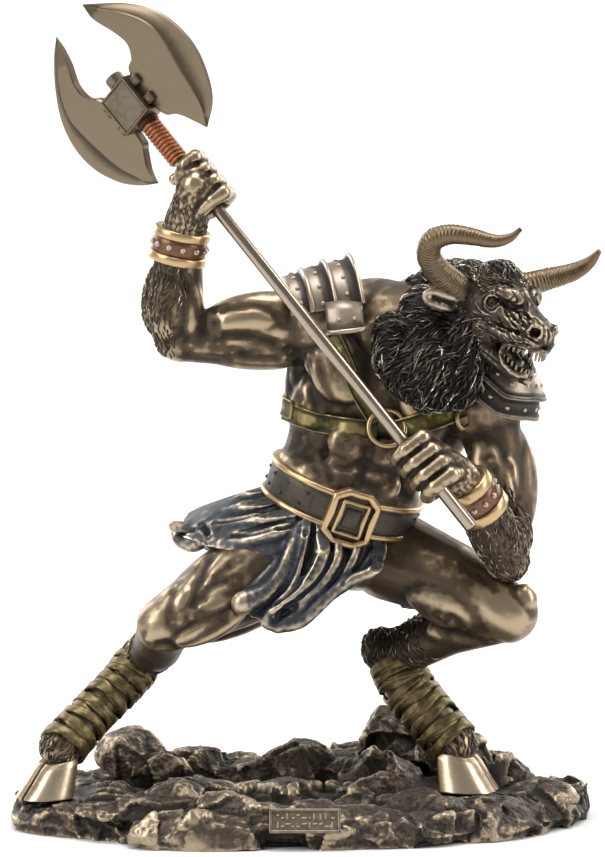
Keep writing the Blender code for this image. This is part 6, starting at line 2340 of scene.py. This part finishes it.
# %% Finishes
weather(bull, 1.1)
# Spots of painted highlight on the head (positive amounts), and one of painted shade (negative amount).
paint_highlights_and_shade(bull, [
    ((426, 294), 3, 0.5), ((440, 290), 3, 0.45), ((455, 297), 3, 0.4), ((440, 308), 3, 0.35),
    ((535, 322), 2.5, 0.3), ((548, 332), 3.5, 0.3), ((528, 340), 3, 0.15), ((511, 294), 3, 0.25),
    ((528, 294), 3, 0.3), ((520, 280), 4, 0.2), ((500, 348), 2.5, 0.3), ((512, 374), 4, 0.25),
    ((470, 335), 5, 0.12), ((524, 312), 4, -0.1),
])
for piece in (right_horn, left_horn):
    weather(piece, 0.6)
for piece in hooves:
    thin_to(piece, 5600)
for piece, share, least in (
    (plate, 0.35, 0.44), (eyes, 0.35, 0.05), (teeth, 0.7, 0), (right_wrap, 0.84, 0), (left_wrap, 0.84, 0),
    (socket, 0.85, 0),
):
    dim(piece, share, least)
FIGURE, AXE, SHAFT, BASE = "figure_bronze", "axe_bronze", "shaft_bronze", "base_bronze"
for finish, slot, smooth, pieces in (
    (skin_finish, FIGURE, True, [upper, lower, right_hand, left_hand]),
    (hoof_finish, FIGURE, True, hooves),
    (face_finish, FIGURE, True, [bull]),
    (horn_finish, FIGURE, True, [right_horn, left_horn]),
    (face_finish, FIGURE, True, [eyes]),
    (tooth_finish, FIGURE, True, [teeth]),
    (hair_finish, FIGURE, True, [mane]),
    (hair_finish, FIGURE, False, [mane_hair]),
    (fur_finish, FIGURE, False, short_hair + fur),
    (armour_finish, FIGURE, True, plates),
    (rim_finish, FIGURE, True, rims + [shoulder_rivets, stud_piece]),
    (strap_finish, FIGURE, True, straps),
    (gold_finish, FIGURE, True, rings + cuff_bands + belt_edges + buckle),
    (cuff_finish, FIGURE, True, cuffs),
    (belt_finish, FIGURE, True, [belt, belt_rivets, buckle_back, buckle_boss]),
    (cloth_finish, FIGURE, True, [loincloth]),
    (wrap_finish, FIGURE, True, [right_wrap, left_wrap]),
    (blade_finish, AXE, False, [right_blade, left_blade]),
    (socket_finish, AXE, False, [socket]),
    (copper_finish, AXE, True, [sleeve, cord]),
    (shaft_finish, SHAFT, True, [shaft]),
    (rock_finish, BASE, False, [ground]),
    (face_finish, BASE, False, [plate]),
    (rim_finish, BASE, False, [plate_strokes]),
):
    for piece in pieces:
        finished(piece, finish, slot, smooth)
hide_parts("minotaur_figure")
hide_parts("axe_head")
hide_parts("axe_shaft")
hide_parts("rock_base")

total = 0
for obj in bpy.context.scene.objects:
    if obj.get("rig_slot") and obj.type == "MESH":
        total += sum(len(face.vertices) - 2 for face in obj.data.polygons)
print("triangles in all", total)
